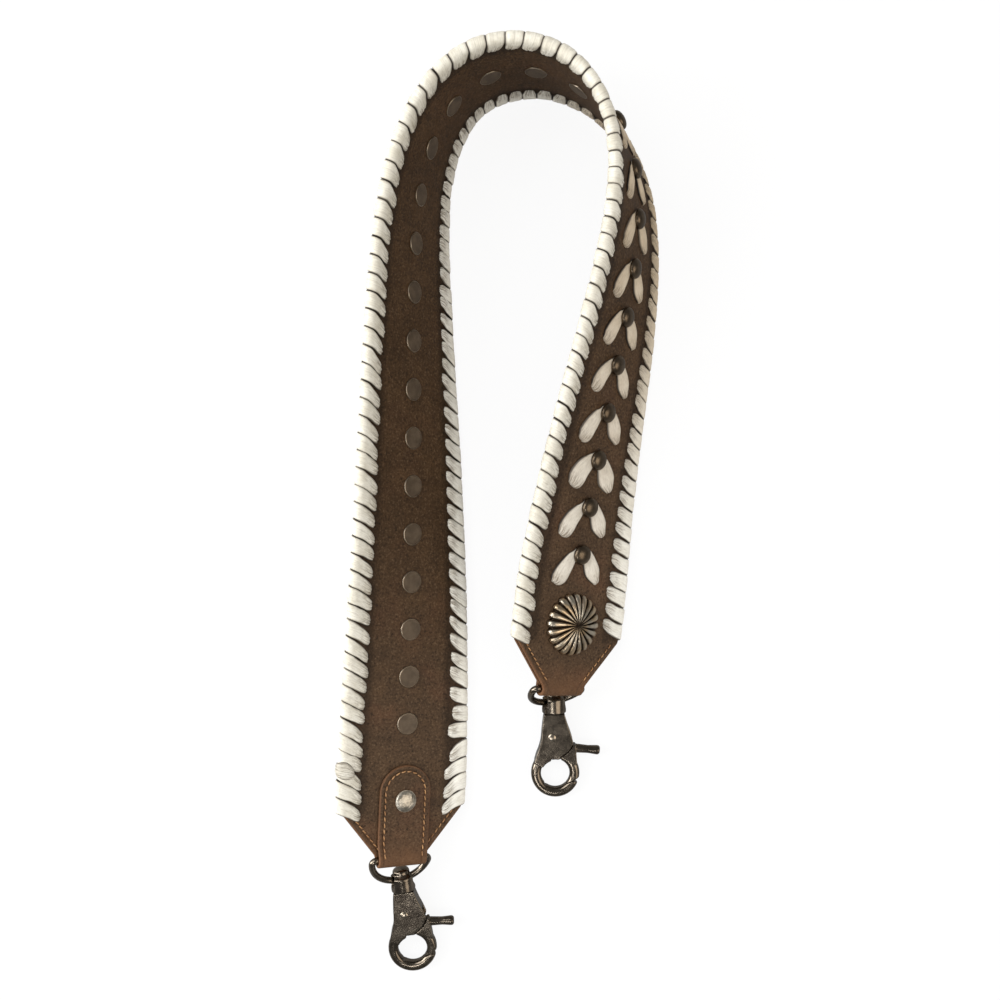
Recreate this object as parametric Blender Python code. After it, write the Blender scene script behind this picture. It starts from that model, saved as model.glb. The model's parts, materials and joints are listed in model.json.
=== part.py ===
"""A detachable bag strap, laid down in a loop: two layers of leather, whip-laced edges, a riveted
chevron lace, and a D-ring with a swivel snap at each end. Metres, +Z up, standing on z = 0."""

import math

import bmesh
import bpy
import numpy as np
from mathutils import Matrix, Vector
from mathutils.geometry import tessellate_polygon

MM = 0.001

# Clearances
FIT_GAP = 0.25 * MM
CUT_OVERRUN = 1.0 * MM

# Leather
STRAP_LENGTH = 583.5 * MM
STRAP_WIDTH = 48.6 * MM
FRONT_THICKNESS = 1.3 * MM
LINER_THICKNESS = 1.1 * MM
LAYER_GAP = 0.8 * MM
END_WIDTH = 19.4 * MM
TAB_WIDTH = 20.6 * MM
TAPER_LENGTH = 21.5 * MM
TAB_LENGTH = 39.0 * MM
TAB_SETTLE_LENGTH = 8.0 * MM
STRAIGHT_END_LENGTH = 44.0 * MM
STATION_SHARES = (0.25, 0.79)
MIDDLE_COLUMN_SHARE = 0.45
MIDDLE_COLUMN_HALF = 6.3 * MM

# How the strap lies: share of the length between its straight ends, heading and lean in degrees
LAY_SHARES = (
    (0.00, 87.5, 25.0),
    (0.10, 88.5, 34.0),
    (0.20, 89.5, 44.0),
    (0.30, 89.5, 54.0),
    (0.385, 87.0, 62.5),
    (0.435, 79.5, 68.5),
    (0.475, 66.0, 73.5),
    (0.505, 49.0, 78.0),
    (0.535, 23.0, 82.5),
    (0.57, -5.5, 87.5),
    (0.605, -33.0, 93.5),
    (0.64, -57.0, 101.0),
    (0.68, -77.5, 109.0),
    (0.73, -93.0, 116.5),
    (0.79, -99.5, 124.0),
    (0.86, -101.0, 131.5),
    (0.93, -99.5, 138.5),
    (1.00, -96.5, 146.0),
)
LAY_STEPS = 1200
EDGE_ROUNDING = 0.08

# Whip lacing
LACE_THICKNESS = 0.85 * MM
LACE_GAP = 0.35 * MM
LACE_EDGE_EXTRA = 0.7 * MM
LACE_FLAT_DEPTH = 0.5 * MM
LACE_PITCH = 6.3 * MM
LACE_VALLEY_DEPTH = 0.45 * MM
LACE_END_MARGIN = 22.0 * MM
OUTER_LACE_REACH = {"front": 6.2 * MM, "back": 8.2 * MM}
INNER_LACE_REACH = {"front": 7.2 * MM, "back": 6.8 * MM}
LACE_CREST_SHARE = 0.5

# Rivets
RIVET_PITCH = 18.25 * MM
RIVET_END_MARGIN = 55.0 * MM
RIVET_SHANK_RADIUS = 1.2 * MM
RIVET_DOME_RADIUS = 3.9 * MM
RIVET_DOME_HEIGHT = 2.9 * MM
RIVET_CAP_RADIUS = 4.0 * MM
RIVET_CAP_HEIGHT = 0.7 * MM
RIVET_SIDES = 8
RIVET_SHANK_SIDES = 6

# Chevron lace
CHEVRON_THICKNESS = 0.8 * MM
CHEVRON_HIDDEN_THICKNESS = 0.3 * MM
CHEVRON_WIDTH = 5.8 * MM
CHEVRON_TIP_WIDTH = 5.0 * MM
CHEVRON_LOOP_WIDTH = 2.0 * MM
CHEVRON_LOOP_BACK = 2.75 * MM
CHEVRON_LOOP_SIDE = (-1.2 * MM, 2.6 * MM)
CHEVRON_HIDDEN_WIDTH = 3.0 * MM
CHEVRON_SLOT_ALONG = 10.2 * MM
CHEVRON_SLOT_ACROSS = 9.3 * MM

# Concho and its screw
CONCHO_RADIUS = 11.7 * MM
CONCHO_HEIGHT = 4.2 * MM
CONCHO_RIM_THICKNESS = 0.9 * MM
CONCHO_FLUTE_DEPTH = 0.8 * MM
CONCHO_PETALS = 20
CONCHO_FROM_FOLD = {"left": 25.5 * MM, "right": 28.0 * MM}
POST_RADIUS = 2.2 * MM
POST_BORE_RADIUS = 1.4 * MM
SCREW_HEAD_RADIUS = 4.2 * MM
SCREW_HEAD_HEIGHT = 1.5 * MM
SCREW_SHAFT_RADIUS = 1.1 * MM
POST_SIDES = 8
SCREW_SIDES = 14

# D-ring
RING_WIRE_RADIUS = 1.3 * MM
RING_SIDE_GAP = 0.5 * MM
RING_CORNER_RADIUS = 1.7 * MM
RING_SIDES = 6
RING_BOW_STEPS = 14
RING_CORNER_STEPS = 3

# Swivel eye
EYE_KNOB_RADIUS = 3.3 * MM
EYE_BLOCK_RADIUS = 4.7 * MM
EYE_BORE_RADIUS = 1.75 * MM
EYE_BORE_MOUTH_RADIUS = 3.6 * MM
EYE_BORE_TO_TOP = 5.0 * MM
EYE_BORE_TO_SHOULDER = 1.4 * MM
EYE_BORE_TO_BASE = 4.4 * MM
EYE_POST_RADIUS = 1.3 * MM
EYE_POST_HEAD_RADIUS = 2.0 * MM
EYE_POST_HEAD_HEIGHT = 0.9 * MM
EYE_SIDES = 10

# Snap
SNAP_THICKNESS = 6.4 * MM
SNAP_SLOT_WIDTH = 4.0 * MM
SNAP_NECK_LENGTH = 1.6 * MM
SNAP_HEAD_ROOM = 1.6 * MM
SNAP_PIVOT = (-1.0 * MM, -9.0 * MM)
SNAP_RING_DROP = 23.8 * MM
SNAP_OPENING_RADIUS = 5.6 * MM
SNAP_HOOK_WIDTH = 3.9 * MM
SNAP_HOOK_THICKNESS = 4.4 * MM
SNAP_CHEEK_RADIUS = 8.4 * MM
SNAP_HUB_RADIUS = 3.5 * MM
SNAP_CHAMFER = 0.7 * MM
SNAP_LEFT_SIDE = ((-4.0, 0.0), (-4.7, -4.5), (-5.2, -9.0), (-5.9, -12.6), (-7.3, -16.2))
SNAP_RIGHT_SIDE = ((4.0, 0.0), (5.3, -5.0), (6.7, -9.2))
SNAP_HOOK_START = 132.0
SNAP_NOSE_DEGREES = -24.0
SNAP_JAW_TOP = 66.0
SNAP_JAW_SWEEP = 19.7 * MM
THUMB_ROOT = (8.2 * MM, -14.2 * MM)
THUMB_END = (17.6 * MM, -15.2 * MM)
THUMB_RADIUS = 1.75 * MM
SHOULDER_FOOT = ((8.6 * MM, -20.4 * MM), (4.0 * MM, -18.4 * MM))
HOLE_SIDES = 10
PIN_RADIUS = 0.9 * MM
PIN_HEAD_RADIUS = 1.6 * MM
PIN_HEAD_HEIGHT = 0.4 * MM
SPRING_WIRE_RADIUS = 0.2 * MM
SPRING_COIL_RADIUS = 1.6 * MM
SPRING_PITCH = 0.9 * MM
SPRING_TURNS = 2
SPRING_STEPS = 9
SPRING_SEAT_DEPTH = 2.6 * MM

# How the loose hardware lies at rest, in degrees
RING_SLOPE = {"left": 26.0, "right": 40.0}
EYE_SWING = {"left": 14.0, "right": 22.0}
EYE_SLACK = {"left": 0.0, "right": -8.0}

FRONT_FACE = LAYER_GAP / 2 + FRONT_THICKNESS
LINER_FACE = LAYER_GAP / 2 + LINER_THICKNESS
HALF_WIDTH = STRAP_WIDTH / 2
FOLD_INNER_RADIUS = RING_WIRE_RADIUS + FIT_GAP
FOLD_OUTER_RADIUS = FOLD_INNER_RADIUS + FRONT_THICKNESS
BAR_DEPTH = LAYER_GAP / 2 - FOLD_INNER_RADIUS
TAB_INNER_FACE = LINER_FACE + FIT_GAP
TAB_OUTER_FACE = TAB_INNER_FACE + FRONT_THICKNESS


def smooth_through(x, xs, ys):
    """Cubic Hermite curve through the points (xs, ys), read at x."""
    xs = np.asarray(xs, float)
    ys = np.asarray(ys, float)
    slopes = np.gradient(ys, xs)
    i = np.clip(np.searchsorted(xs, x) - 1, 0, len(xs) - 2)
    span = xs[i + 1] - xs[i]
    t = (x - xs[i]) / span
    return (
        (2 * t**3 - 3 * t**2 + 1) * ys[i]
        + (t**3 - 2 * t**2 + t) * span * slopes[i]
        + (3 * t**2 - 2 * t**3) * ys[i + 1]
        + (t**3 - t**2) * span * slopes[i + 1]
    )


def running_sum(values, steps):
    """Trapezium sum of values along steps, starting at zero."""
    return np.r_[0.0, np.cumsum((values[1:] + values[:-1]) / 2 * np.diff(steps))]


def unit(vectors):
    return vectors / np.linalg.norm(vectors, axis=-1, keepdims=True)


def rivet_places():
    """Lengths along the strap of its rivets, evenly spaced between the two end margins."""
    run = STRAP_LENGTH - 2 * RIVET_END_MARGIN
    count = int(round(run / RIVET_PITCH)) + 1
    return np.linspace(RIVET_END_MARGIN, STRAP_LENGTH - RIVET_END_MARGIN, count)


def lay_stations():
    """Lengths at which the strap bends, kept clear of its holes and slots."""
    places = rivet_places()
    pitch = places[1] - places[0]
    starts = np.r_[places[0] - pitch, places]
    between = [start + share * pitch for start in starts for share in STATION_SHARES]
    near_first = (TAPER_LENGTH + between[0]) / 2
    near_last = (STRAP_LENGTH - TAPER_LENGTH + between[-1]) / 2
    ends = (0.0, TAPER_LENGTH, STRAP_LENGTH - TAPER_LENGTH, STRAP_LENGTH)
    return np.sort(np.r_[ends, near_first, near_last, between])


def resting_height(lean):
    """Height of the strap's middle at which its lower laced edge just touches the table."""
    edge = HALF_WIDTH + LACE_GAP + LACE_THICKNESS + LACE_EDGE_EXTRA
    face = FRONT_FACE + LACE_GAP + LACE_THICKNESS
    across, out = np.sin(lean), np.sqrt(np.cos(lean) ** 2 + EDGE_ROUNDING**2)
    corner = LACE_THICKNESS
    return np.maximum(
        (edge - LACE_EDGE_EXTRA - 2 * corner) * across + face * out,
        edge * across + (face - 2 * corner) * out,
    )


def lay_strap():
    """The middle line of the strap and its frame: along, across (to the outer edge) and front."""
    along = np.linspace(0, STRAP_LENGTH, LAY_STEPS + 1)
    bending = STRAP_LENGTH - 2 * STRAIGHT_END_LENGTH
    share = np.clip((along - STRAIGHT_END_LENGTH) / bending, 0, 1)
    shares, headings, leans = zip(*LAY_SHARES)
    heading = np.radians(smooth_through(share, shares, headings))
    lean = np.radians(smooth_through(share, shares, leans))
    rise = resting_height(lean)
    slope = np.gradient(rise, along)
    level = np.sqrt(1 - slope**2)
    x = running_sum(level * np.cos(heading), along)
    y = running_sum(level * np.sin(heading), along)
    tangent = np.stack([level * np.cos(heading), level * np.sin(heading), slope], 1)
    flat = np.zeros_like(heading)
    leftward = np.stack([-np.sin(heading), np.cos(heading), flat], 1)
    across = leftward * np.cos(lean)[:, None] + np.array([0, 0, 1.0]) * np.sin(lean)[:, None]
    across = unit(across - (across * tangent).sum(1)[:, None] * tangent)
    front = np.cross(across, tangent)
    centre = np.stack([x, y, rise], 1)
    stations = lay_stations()
    lay = {"along": stations}
    for name, values in (("centre", centre), ("tangent", tangent), ("across", across), ("front", front)):
        read = np.stack([np.interp(stations, along, values[:, i]) for i in range(3)], 1)
        lay[name] = read if name == "centre" else unit(read)
    return lay


LAY = lay_strap()


def read_lay(name, along):
    return np.stack([np.interp(along, LAY["along"], LAY[name][:, i]) for i in range(3)], -1)


def place(along, across, out):
    """World points at a length along the strap, an offset across it and a height above its middle."""
    along, across, out = np.broadcast_arrays(
        np.asarray(along, float), np.asarray(across, float), np.asarray(out, float)
    )
    inside = np.clip(along, 0, STRAP_LENGTH)
    centre = read_lay("centre", inside) + (along - inside)[..., None] * read_lay("tangent", inside)
    return (
        centre
        + across[..., None] * read_lay("across", inside)
        + out[..., None] * read_lay("front", inside)
    )


def clear_scene():
    for obj in list(bpy.data.objects):
        bpy.data.objects.remove(obj, do_unlink=True)


MATERIALS = {}


def material(name, colour, roughness, metallic=0.0):
    if name not in MATERIALS:
        made = bpy.data.materials.new(name)
        made.use_nodes = True
        shader = made.node_tree.nodes["Principled BSDF"]
        shader.inputs["Base Color"].default_value = (*colour, 1.0)
        shader.inputs["Roughness"].default_value = roughness
        shader.inputs["Metallic"].default_value = metallic
        MATERIALS[name] = made
    return MATERIALS[name]


def brown_leather():
    return material("oiled_brown_leather", (0.082, 0.042, 0.024), 0.62)


def white_lace():
    return material("white_lace", (0.74, 0.70, 0.61), 0.6)


def dark_metal():
    return material("gunmetal", (0.11, 0.10, 0.09), 0.28, 1.0)


def old_silver():
    return material("old_silver", (0.55, 0.50, 0.43), 0.35, 1.0)


def mesh_object(name, points, faces, paint, smooth=40.0):
    mesh = bpy.data.meshes.new(name)
    mesh.from_pydata([tuple(p) for p in np.asarray(points, float)], [], [tuple(f) for f in faces])
    mesh.update()
    built = bmesh.new()
    built.from_mesh(mesh)
    bmesh.ops.recalc_face_normals(built, faces=built.faces)
    built.to_mesh(mesh)
    built.free()
    if paint is not None:
        mesh.materials.append(paint)
    if smooth:
        mesh.shade_smooth()
        mesh.set_sharp_from_angle(angle=math.radians(smooth))
    obj = bpy.data.objects.new(name, mesh)
    bpy.context.scene.collection.objects.link(obj)
    return obj


def loft(rings, closed=False):
    """Points and triangles of a skin over rings of equal count, with end caps unless it closes."""
    rings = np.asarray(rings, float)
    count, sides = rings.shape[:2]
    faces = []
    for i in range(count if closed else count - 1):
        a, b = i * sides, ((i + 1) % count) * sides
        for j in range(sides):
            k = (j + 1) % sides
            faces += [(a + j, a + k, b + k), (a + j, b + k, b + j)]
    if not closed:
        faces.append(tuple(range(sides)))
        faces.append(tuple((count - 1) * sides + j for j in reversed(range(sides))))
    return rings.reshape(-1, 3), faces


def hide(obj):
    obj.hide_render = True
    obj.display_type = "WIRE"


def combine(obj, other, operation):
    modifier = obj.modifiers.new(operation.lower() + "_" + other.name, "BOOLEAN")
    modifier.object = other
    modifier.operation = operation
    modifier.solver = "EXACT"
    hide(other)


def disc(centre, side_a, side_b, radius, sides, turn=0.0):
    angle = np.arange(sides) * 2 * math.pi / sides + turn
    return (
        np.asarray(centre)
        + np.cos(angle)[:, None] * radius * np.asarray(side_a)
        + np.sin(angle)[:, None] * radius * np.asarray(side_b)
    )


def turned(profile, sides):
    """Rings of a turned piece about +Z from its (radius, height) profile, top to bottom."""
    x, y = np.array([1.0, 0, 0]), np.array([0, 1.0, 0])
    return [disc((0, 0, height), x, y, radius, sides) for radius, height in profile]


def taper_half_width(along):
    """Half the leather's width at a length from its fold: narrow at the bar, then widening."""
    near = np.minimum(along, STRAP_LENGTH - along)
    start = bar_along() + RING_WIRE_RADIUS + FIT_GAP
    share = np.clip((near - start) / (TAPER_LENGTH - start), 0, 1)
    return END_WIDTH / 2 + share * (HALF_WIDTH - END_WIDTH / 2)


def bar_along():
    return FOLD_OUTER_RADIUS


def columns(half_width):
    middle = min(MIDDLE_COLUMN_SHARE * half_width, MIDDLE_COLUMN_HALF)
    return (-half_width, -middle, middle, half_width)


def punched_sheet(name, rings, holes, paint):
    """A sheet between two skins, cell by cell, with a hole through each cell that has one.

    A ring is ((along, out) of one skin, (along, out) of the other, half width). A hole is
    (first ring, last ring, points), each point (along, across), in the cell that its middle is in."""
    points, faces = [], []
    width = len(columns(1.0))
    for first, second, half in rings:
        for along, out in (first, second):
            points += list(place(along, np.array(columns(half)), out))

    def corner(ring, skin, column):
        return (2 * ring + skin) * width + column

    punched = {}
    for start, stop, outline in holes:
        middle = np.mean(outline, 0)
        for ring in range(start, stop):
            near, far = rings[ring], rings[ring + 1]
            share = (middle[0] - near[0][0]) / (far[0][0] - near[0][0])
            if 0 <= share < 1:
                lines = np.array(columns(near[2] + share * (far[2] - near[2])))
                punched[ring, int(np.searchsorted(lines, middle[1])) - 1] = outline
    for ring in range(len(rings) - 1):
        for column in range(width - 1):
            outline = punched.get((ring, column))
            rims = []
            for skin in (0, 1):
                cell = [
                    corner(ring, skin, column),
                    corner(ring, skin, column + 1),
                    corner(ring + 1, skin, column + 1),
                    corner(ring + 1, skin, column),
                ]
                if outline is None:
                    faces += [(cell[0], cell[1], cell[2]), (cell[0], cell[2], cell[3])]
                    continue
                (along_a, out_a), (along_b, out_b) = rings[ring][skin], rings[ring + 1][skin]
                corners = [
                    (along, columns(half)[c], 0)
                    for along, half, c in (
                        (along_a, rings[ring][2], column),
                        (along_a, rings[ring][2], column + 1),
                        (along_b, rings[ring + 1][2], column + 1),
                        (along_b, rings[ring + 1][2], column),
                    )
                ]
                rim = list(range(len(points), len(points) + len(outline)))
                for along, across in outline:
                    share = (along - along_a) / (along_b - along_a)
                    start = place(along_a, across, out_a)
                    points.append(start + share * (place(along_b, across, out_b) - start))
                flat = [Vector(c) for c in corners], [Vector((*c, 0)) for c in outline]
                numbers = cell + rim
                faces += [tuple(numbers[k] for k in triangle) for triangle in tessellate_polygon(flat)]
                rims.append(rim)
            if rims:
                count = len(rims[0])
                for k in range(count):
                    after = (k + 1) % count
                    faces += [
                        (rims[0][k], rims[0][after], rims[1][after]),
                        (rims[0][k], rims[1][after], rims[1][k]),
                    ]
        for column in (0, width - 1):
            a, b = corner(ring, 0, column), corner(ring, 1, column)
            c, d = corner(ring + 1, 1, column), corner(ring + 1, 0, column)
            faces += [(a, b, c), (a, c, d)]
    for ring in (0, len(rings) - 1):
        for column in range(width - 1):
            a, b = corner(ring, 0, column), corner(ring, 0, column + 1)
            c, d = corner(ring, 1, column + 1), corner(ring, 1, column)
            faces += [(a, b, c), (a, c, d)]
    return mesh_object(name, points, faces, paint)


def main_stations():
    taper_start = bar_along() + RING_WIRE_RADIUS + FIT_GAP
    return np.r_[taper_start, LAY["along"][1:-1], STRAP_LENGTH - taper_start]


def tab_rings():
    """The folded end in (along, out) pairs from the tab's tip round the bar, as at the first end."""
    radius = TAB_WIDTH / 2
    rings = []
    for share in (0.05, 0.35, 0.7, 1.0):
        half = radius * math.sqrt(1 - (1 - share) ** 2)
        along = TAB_LENGTH - radius * share
        rings.append(((along, -TAB_INNER_FACE), (along, -TAB_OUTER_FACE), half))
    bar_side = FOLD_INNER_RADIUS - BAR_DEPTH
    for share in (1.0, 0.5, 0.0):
        ease = share * share * (3 - 2 * share)
        inner = bar_side + (TAB_INNER_FACE - bar_side) * ease
        along = bar_along() + share * TAB_SETTLE_LENGTH
        half = (END_WIDTH + (TAB_WIDTH - END_WIDTH) * ease) / 2
        rings.append(((along, -inner), (along, -inner - FRONT_THICKNESS), half))
    for degrees in (30, 60, 90, 120, 150):
        angle = math.radians(degrees)
        reach, depth = math.sin(angle), -math.cos(angle)
        inner, outer = [
            (bar_along() - radius * reach, BAR_DEPTH + radius * depth)
            for radius in (FOLD_INNER_RADIUS, FOLD_OUTER_RADIUS)
        ]
        rings.append((inner, outer, END_WIDTH / 2))
    rings.append(((bar_along(), LAYER_GAP / 2), (bar_along(), FRONT_FACE), END_WIDTH / 2))
    return rings


def mirrored_end(ring):
    (inner_along, inner_out), (outer_along, outer_out), half = ring
    return (
        (STRAP_LENGTH - inner_along, inner_out),
        (STRAP_LENGTH - outer_along, outer_out),
        half,
    )


def concho_places():
    return {"left": CONCHO_FROM_FOLD["left"], "right": STRAP_LENGTH - CONCHO_FROM_FOLD["right"]}


def round_hole(along, radius, sides):
    angle = (np.arange(sides) + 0.5) * 2 * math.pi / sides
    return np.stack([along + radius * np.cos(angle), radius * np.sin(angle)], 1)


def flatten_below(obj, height):
    """Cuts away what the strap presses flat where it lies."""
    low, high = -2 * STRAP_LENGTH, 2 * STRAP_LENGTH
    heights = (-STRAP_WIDTH, height)
    rings = [[(low, low, z), (high, low, z), (high, high, z), (low, high, z)] for z in heights]
    slab = mesh_object("table_level", *loft(rings), None, smooth=0)
    combine(obj, slab, "DIFFERENCE")


def chevron_directions():
    """Unit step in (along, across, out) from beside the rivet to its slot."""
    return unit(np.array([CHEVRON_SLOT_ALONG, CHEVRON_SLOT_ACROSS, 0]) - np.array([*CHEVRON_LOOP_SIDE, 0]))


def slot_hole(along, side):
    """A slit for the chevron lace, square to the lace's run."""
    step = chevron_directions() * np.array([1, side, 0])
    square = np.array([-step[1], step[0], 0])
    middle = np.array([along + CHEVRON_SLOT_ALONG, side * CHEVRON_SLOT_ACROSS, 0])
    half_long = CHEVRON_TIP_WIDTH / 2 + FIT_GAP
    half_wide = CHEVRON_THICKNESS / 2 + FIT_GAP
    turns = ((-1, -1), (1, -1), (1, 1), (-1, 1))
    return np.array([middle + step * half_wide * a + square * half_long * b for a, b in turns])[:, :2]


def build_front_leather():
    ends = tab_rings()
    main = [
        ((along, LAYER_GAP / 2), (along, FRONT_FACE), taper_half_width(along))
        for along in main_stations()
    ]
    rings = ends + main + [mirrored_end(ring) for ring in reversed(ends)]
    tab_end, main_end = len(ends) - 1, len(ends) + len(main) - 1
    shank = RIVET_SHANK_RADIUS + FIT_GAP
    holes = [(tab_end, main_end, round_hole(along, shank, RIVET_SHANK_SIDES)) for along in rivet_places()]
    holes += [
        (tab_end, main_end, slot_hole(along, side)) for along in rivet_places() for side in (-1, 1)
    ]
    for end, along in concho_places().items():
        post = round_hole(along, POST_RADIUS + FIT_GAP, POST_SIDES)
        holes.append((tab_end, main_end, post))
        holes.append((0, tab_end - 6, post) if end == "left" else (main_end + 6, len(rings) - 1, post))
    return punched_sheet("front_leather", rings, holes, brown_leather())


def build_liner():
    rings = [
        ((along, -LAYER_GAP / 2), (along, -LINER_FACE), taper_half_width(along))
        for along in main_stations()
    ]
    last = len(rings) - 1
    shank = RIVET_SHANK_RADIUS + FIT_GAP
    holes = [(0, last, round_hole(along, shank, RIVET_SHANK_SIDES)) for along in rivet_places()]
    holes += [
        (0, last, round_hole(along, POST_RADIUS + FIT_GAP, POST_SIDES))
        for along in concho_places().values()
    ]
    return punched_sheet("back_liner", rings, holes, brown_leather())


def lace_ring(along, side, reach, rise, slant):
    """A C-shaped section round one edge. Side is +1 at the outer edge and -1 at the inner."""
    front_in = FRONT_FACE + LACE_GAP
    back_in = -LINER_FACE - LACE_GAP
    edge_in = HALF_WIDTH + LACE_GAP
    front_out = front_in + rise
    back_out = back_in - rise
    edge_out = edge_in + rise + LACE_EDGE_EXTRA
    corner = rise
    front_tip = HALF_WIDTH - reach["front"]
    back_tip = HALF_WIDTH - reach["back"]
    outline = [
        (front_tip, front_in),
        (edge_in - corner, front_out),
        (edge_out, front_in - corner),
        (edge_out, back_in + corner),
        (edge_in - corner, back_out),
        (back_tip, back_in),
        (edge_in, back_in),
        (edge_in, front_in),
    ]
    points = []
    for across, out in outline:
        depth = np.clip((edge_out - across) / (edge_out - min(front_tip, back_tip)), 0, 1)
        lead = slant * depth * (1 if out > 0 else -1)
        points.append(place(along + side * lead, side * across, out))
    return points


def build_edge_lacing(name, side, reach):
    """One lace whipped over an edge: each wrap swells between two valleys and slants along."""
    run = STRAP_LENGTH - 2 * LACE_END_MARGIN
    wraps = int(round(run / LACE_PITCH))
    pitch = run / wraps
    slant = pitch / 2
    rings = []
    for wrap in range(wraps):
        start = LACE_END_MARGIN + wrap * pitch
        rings.append(lace_ring(start, side, reach, LACE_THICKNESS - LACE_VALLEY_DEPTH, slant))
        rings.append(lace_ring(start + pitch * LACE_CREST_SHARE, side, reach, LACE_THICKNESS, slant))
    rings.append(
        lace_ring(STRAP_LENGTH - LACE_END_MARGIN, side, reach, LACE_THICKNESS - LACE_VALLEY_DEPTH, slant)
    )
    return mesh_object(name, *loft(rings), white_lace())


def chevron_stations(side, enters):
    """Half a chevron from between the layers to the rivet: (centre, width, thickness, width's axis)."""
    top = FRONT_FACE + FIT_GAP + CHEVRON_THICKNESS / 2
    step = chevron_directions() * np.array([1, side, 0])
    square = np.array([-step[1], step[0], 0])
    slot = np.array([CHEVRON_SLOT_ALONG, side * CHEVRON_SLOT_ACROSS, 0])
    beside = np.array([CHEVRON_LOOP_SIDE[0], side * CHEVRON_LOOP_SIDE[1], 0])
    pitch = rivet_places()[1] - rivet_places()[0]
    bends = [share * pitch for share in STATION_SHARES]
    widest = slot + step * (bends[0] - slot[0]) / step[0]
    hidden = np.array([bends[0] if enters else bends[1], slot[1], 0])
    up = np.array([0, 0, 1.0])
    level = np.array([0, 1.0, 0])
    return [
        (hidden, CHEVRON_HIDDEN_WIDTH, CHEVRON_HIDDEN_THICKNESS, level),
        (slot, CHEVRON_HIDDEN_WIDTH, CHEVRON_HIDDEN_THICKNESS, square),
        (slot + up * top, CHEVRON_TIP_WIDTH, CHEVRON_THICKNESS, square),
        (widest + up * top, CHEVRON_WIDTH / step[0], CHEVRON_THICKNESS, level),
        (beside + up * top, CHEVRON_LOOP_WIDTH, CHEVRON_THICKNESS, unit(beside)),
    ]


def chevron_path():
    """Every station of the lace: up through a slot, over the rivet's shank and down the other side."""
    stations = []
    top = FRONT_FACE + FIT_GAP + CHEVRON_THICKNESS / 2
    back = np.array([-CHEVRON_LOOP_BACK, 0, top])
    for index, along in enumerate(rivet_places()):
        side = 1 if index % 2 == 0 else -1
        local = chevron_stations(side, True)
        local.append((back, CHEVRON_LOOP_WIDTH, CHEVRON_THICKNESS, np.array([-1.0, 0, 0])))
        local += reversed(chevron_stations(-side, False))
        if index == 0:
            local = local[1:]
        if index == len(rivet_places()) - 1:
            local = local[:-1]
        for centre, width, thickness, square in local:
            stations.append((centre + np.array([along, 0, 0]), width, thickness, square))
    return stations


def build_chevron_lace():
    """A flat lace swept through its stations, with mitred corners."""
    stations = chevron_path()
    centres = np.array([s[0] for s in stations])
    steps = unit(np.diff(centres, axis=0))
    rings = []
    before = None
    for i, (centre, width, thickness, square) in enumerate(stations):
        step_in = steps[max(i - 1, 0)]
        step_out = steps[min(i, len(steps) - 1)]
        if before is not None and np.dot(before, square) < 0:
            square = -square
        before = square
        normal_in = np.cross(step_in, square)
        normal_out = np.cross(step_out, square)
        normal_in, normal_out = unit(normal_in), unit(normal_out)
        mitre = unit(normal_in + normal_out)
        stretch = 1 / max(float(np.dot(mitre, normal_in)), 0.5)
        half_wide, half_thick = width / 2 * square, thickness / 2 * stretch * mitre
        corners = [
            centre - half_wide - half_thick,
            centre + half_wide - half_thick,
            centre + half_wide + half_thick,
            centre - half_wide + half_thick,
        ]
        rings.append([place(*corner) for corner in corners])
    return mesh_object("chevron_lace", *loft(rings), white_lace())


def piece_at(name, rings, matrix, paint, closed=False, smooth=40.0):
    """A lofted piece made about its own origin and put in place by its object's matrix."""
    obj = mesh_object(name, *loft(rings, closed), paint, smooth)
    obj.matrix_world = matrix
    return obj


def strap_matrix(along, across=0.0, out=0.0):
    """Axes at a place on the strap: X along it, Y across it and Z out of its front."""
    axes = [unit(read_lay(name, along)) for name in ("tangent", "across", "front")]
    matrix = Matrix.Identity(4)
    for column, axis in enumerate((axes[0], np.cross(axes[2], axes[0]), axes[2])):
        for row in range(3):
            matrix[row][column] = axis[row]
    matrix.translation = Vector(place(along, across, out))
    return matrix


def build_rivets():
    rim = FRONT_FACE + 2 * FIT_GAP + CHEVRON_THICKNESS
    cap = -LINER_FACE - FIT_GAP
    shoulder_share = 0.72
    profile = (
        (RIVET_DOME_RADIUS * (1 - shoulder_share), rim + RIVET_DOME_HEIGHT),
        (RIVET_DOME_RADIUS * shoulder_share, rim + RIVET_DOME_HEIGHT * shoulder_share),
        (RIVET_DOME_RADIUS, rim),
        (RIVET_SHANK_RADIUS, rim),
        (RIVET_SHANK_RADIUS, cap),
        (RIVET_CAP_RADIUS, cap),
        (RIVET_CAP_RADIUS * 0.85, cap - RIVET_CAP_HEIGHT),
    )
    rings = turned(profile, RIVET_SIDES)
    shape = mesh_object("rivet_01", *loft(rings), dark_metal())
    for number, along in enumerate(rivet_places(), 1):
        if number == 1:
            rivet = shape
        else:
            rivet = bpy.data.objects.new(f"rivet_{number:02d}", shape.data)
            bpy.context.scene.collection.objects.link(rivet)
        rivet.matrix_world = strap_matrix(along)


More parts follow.
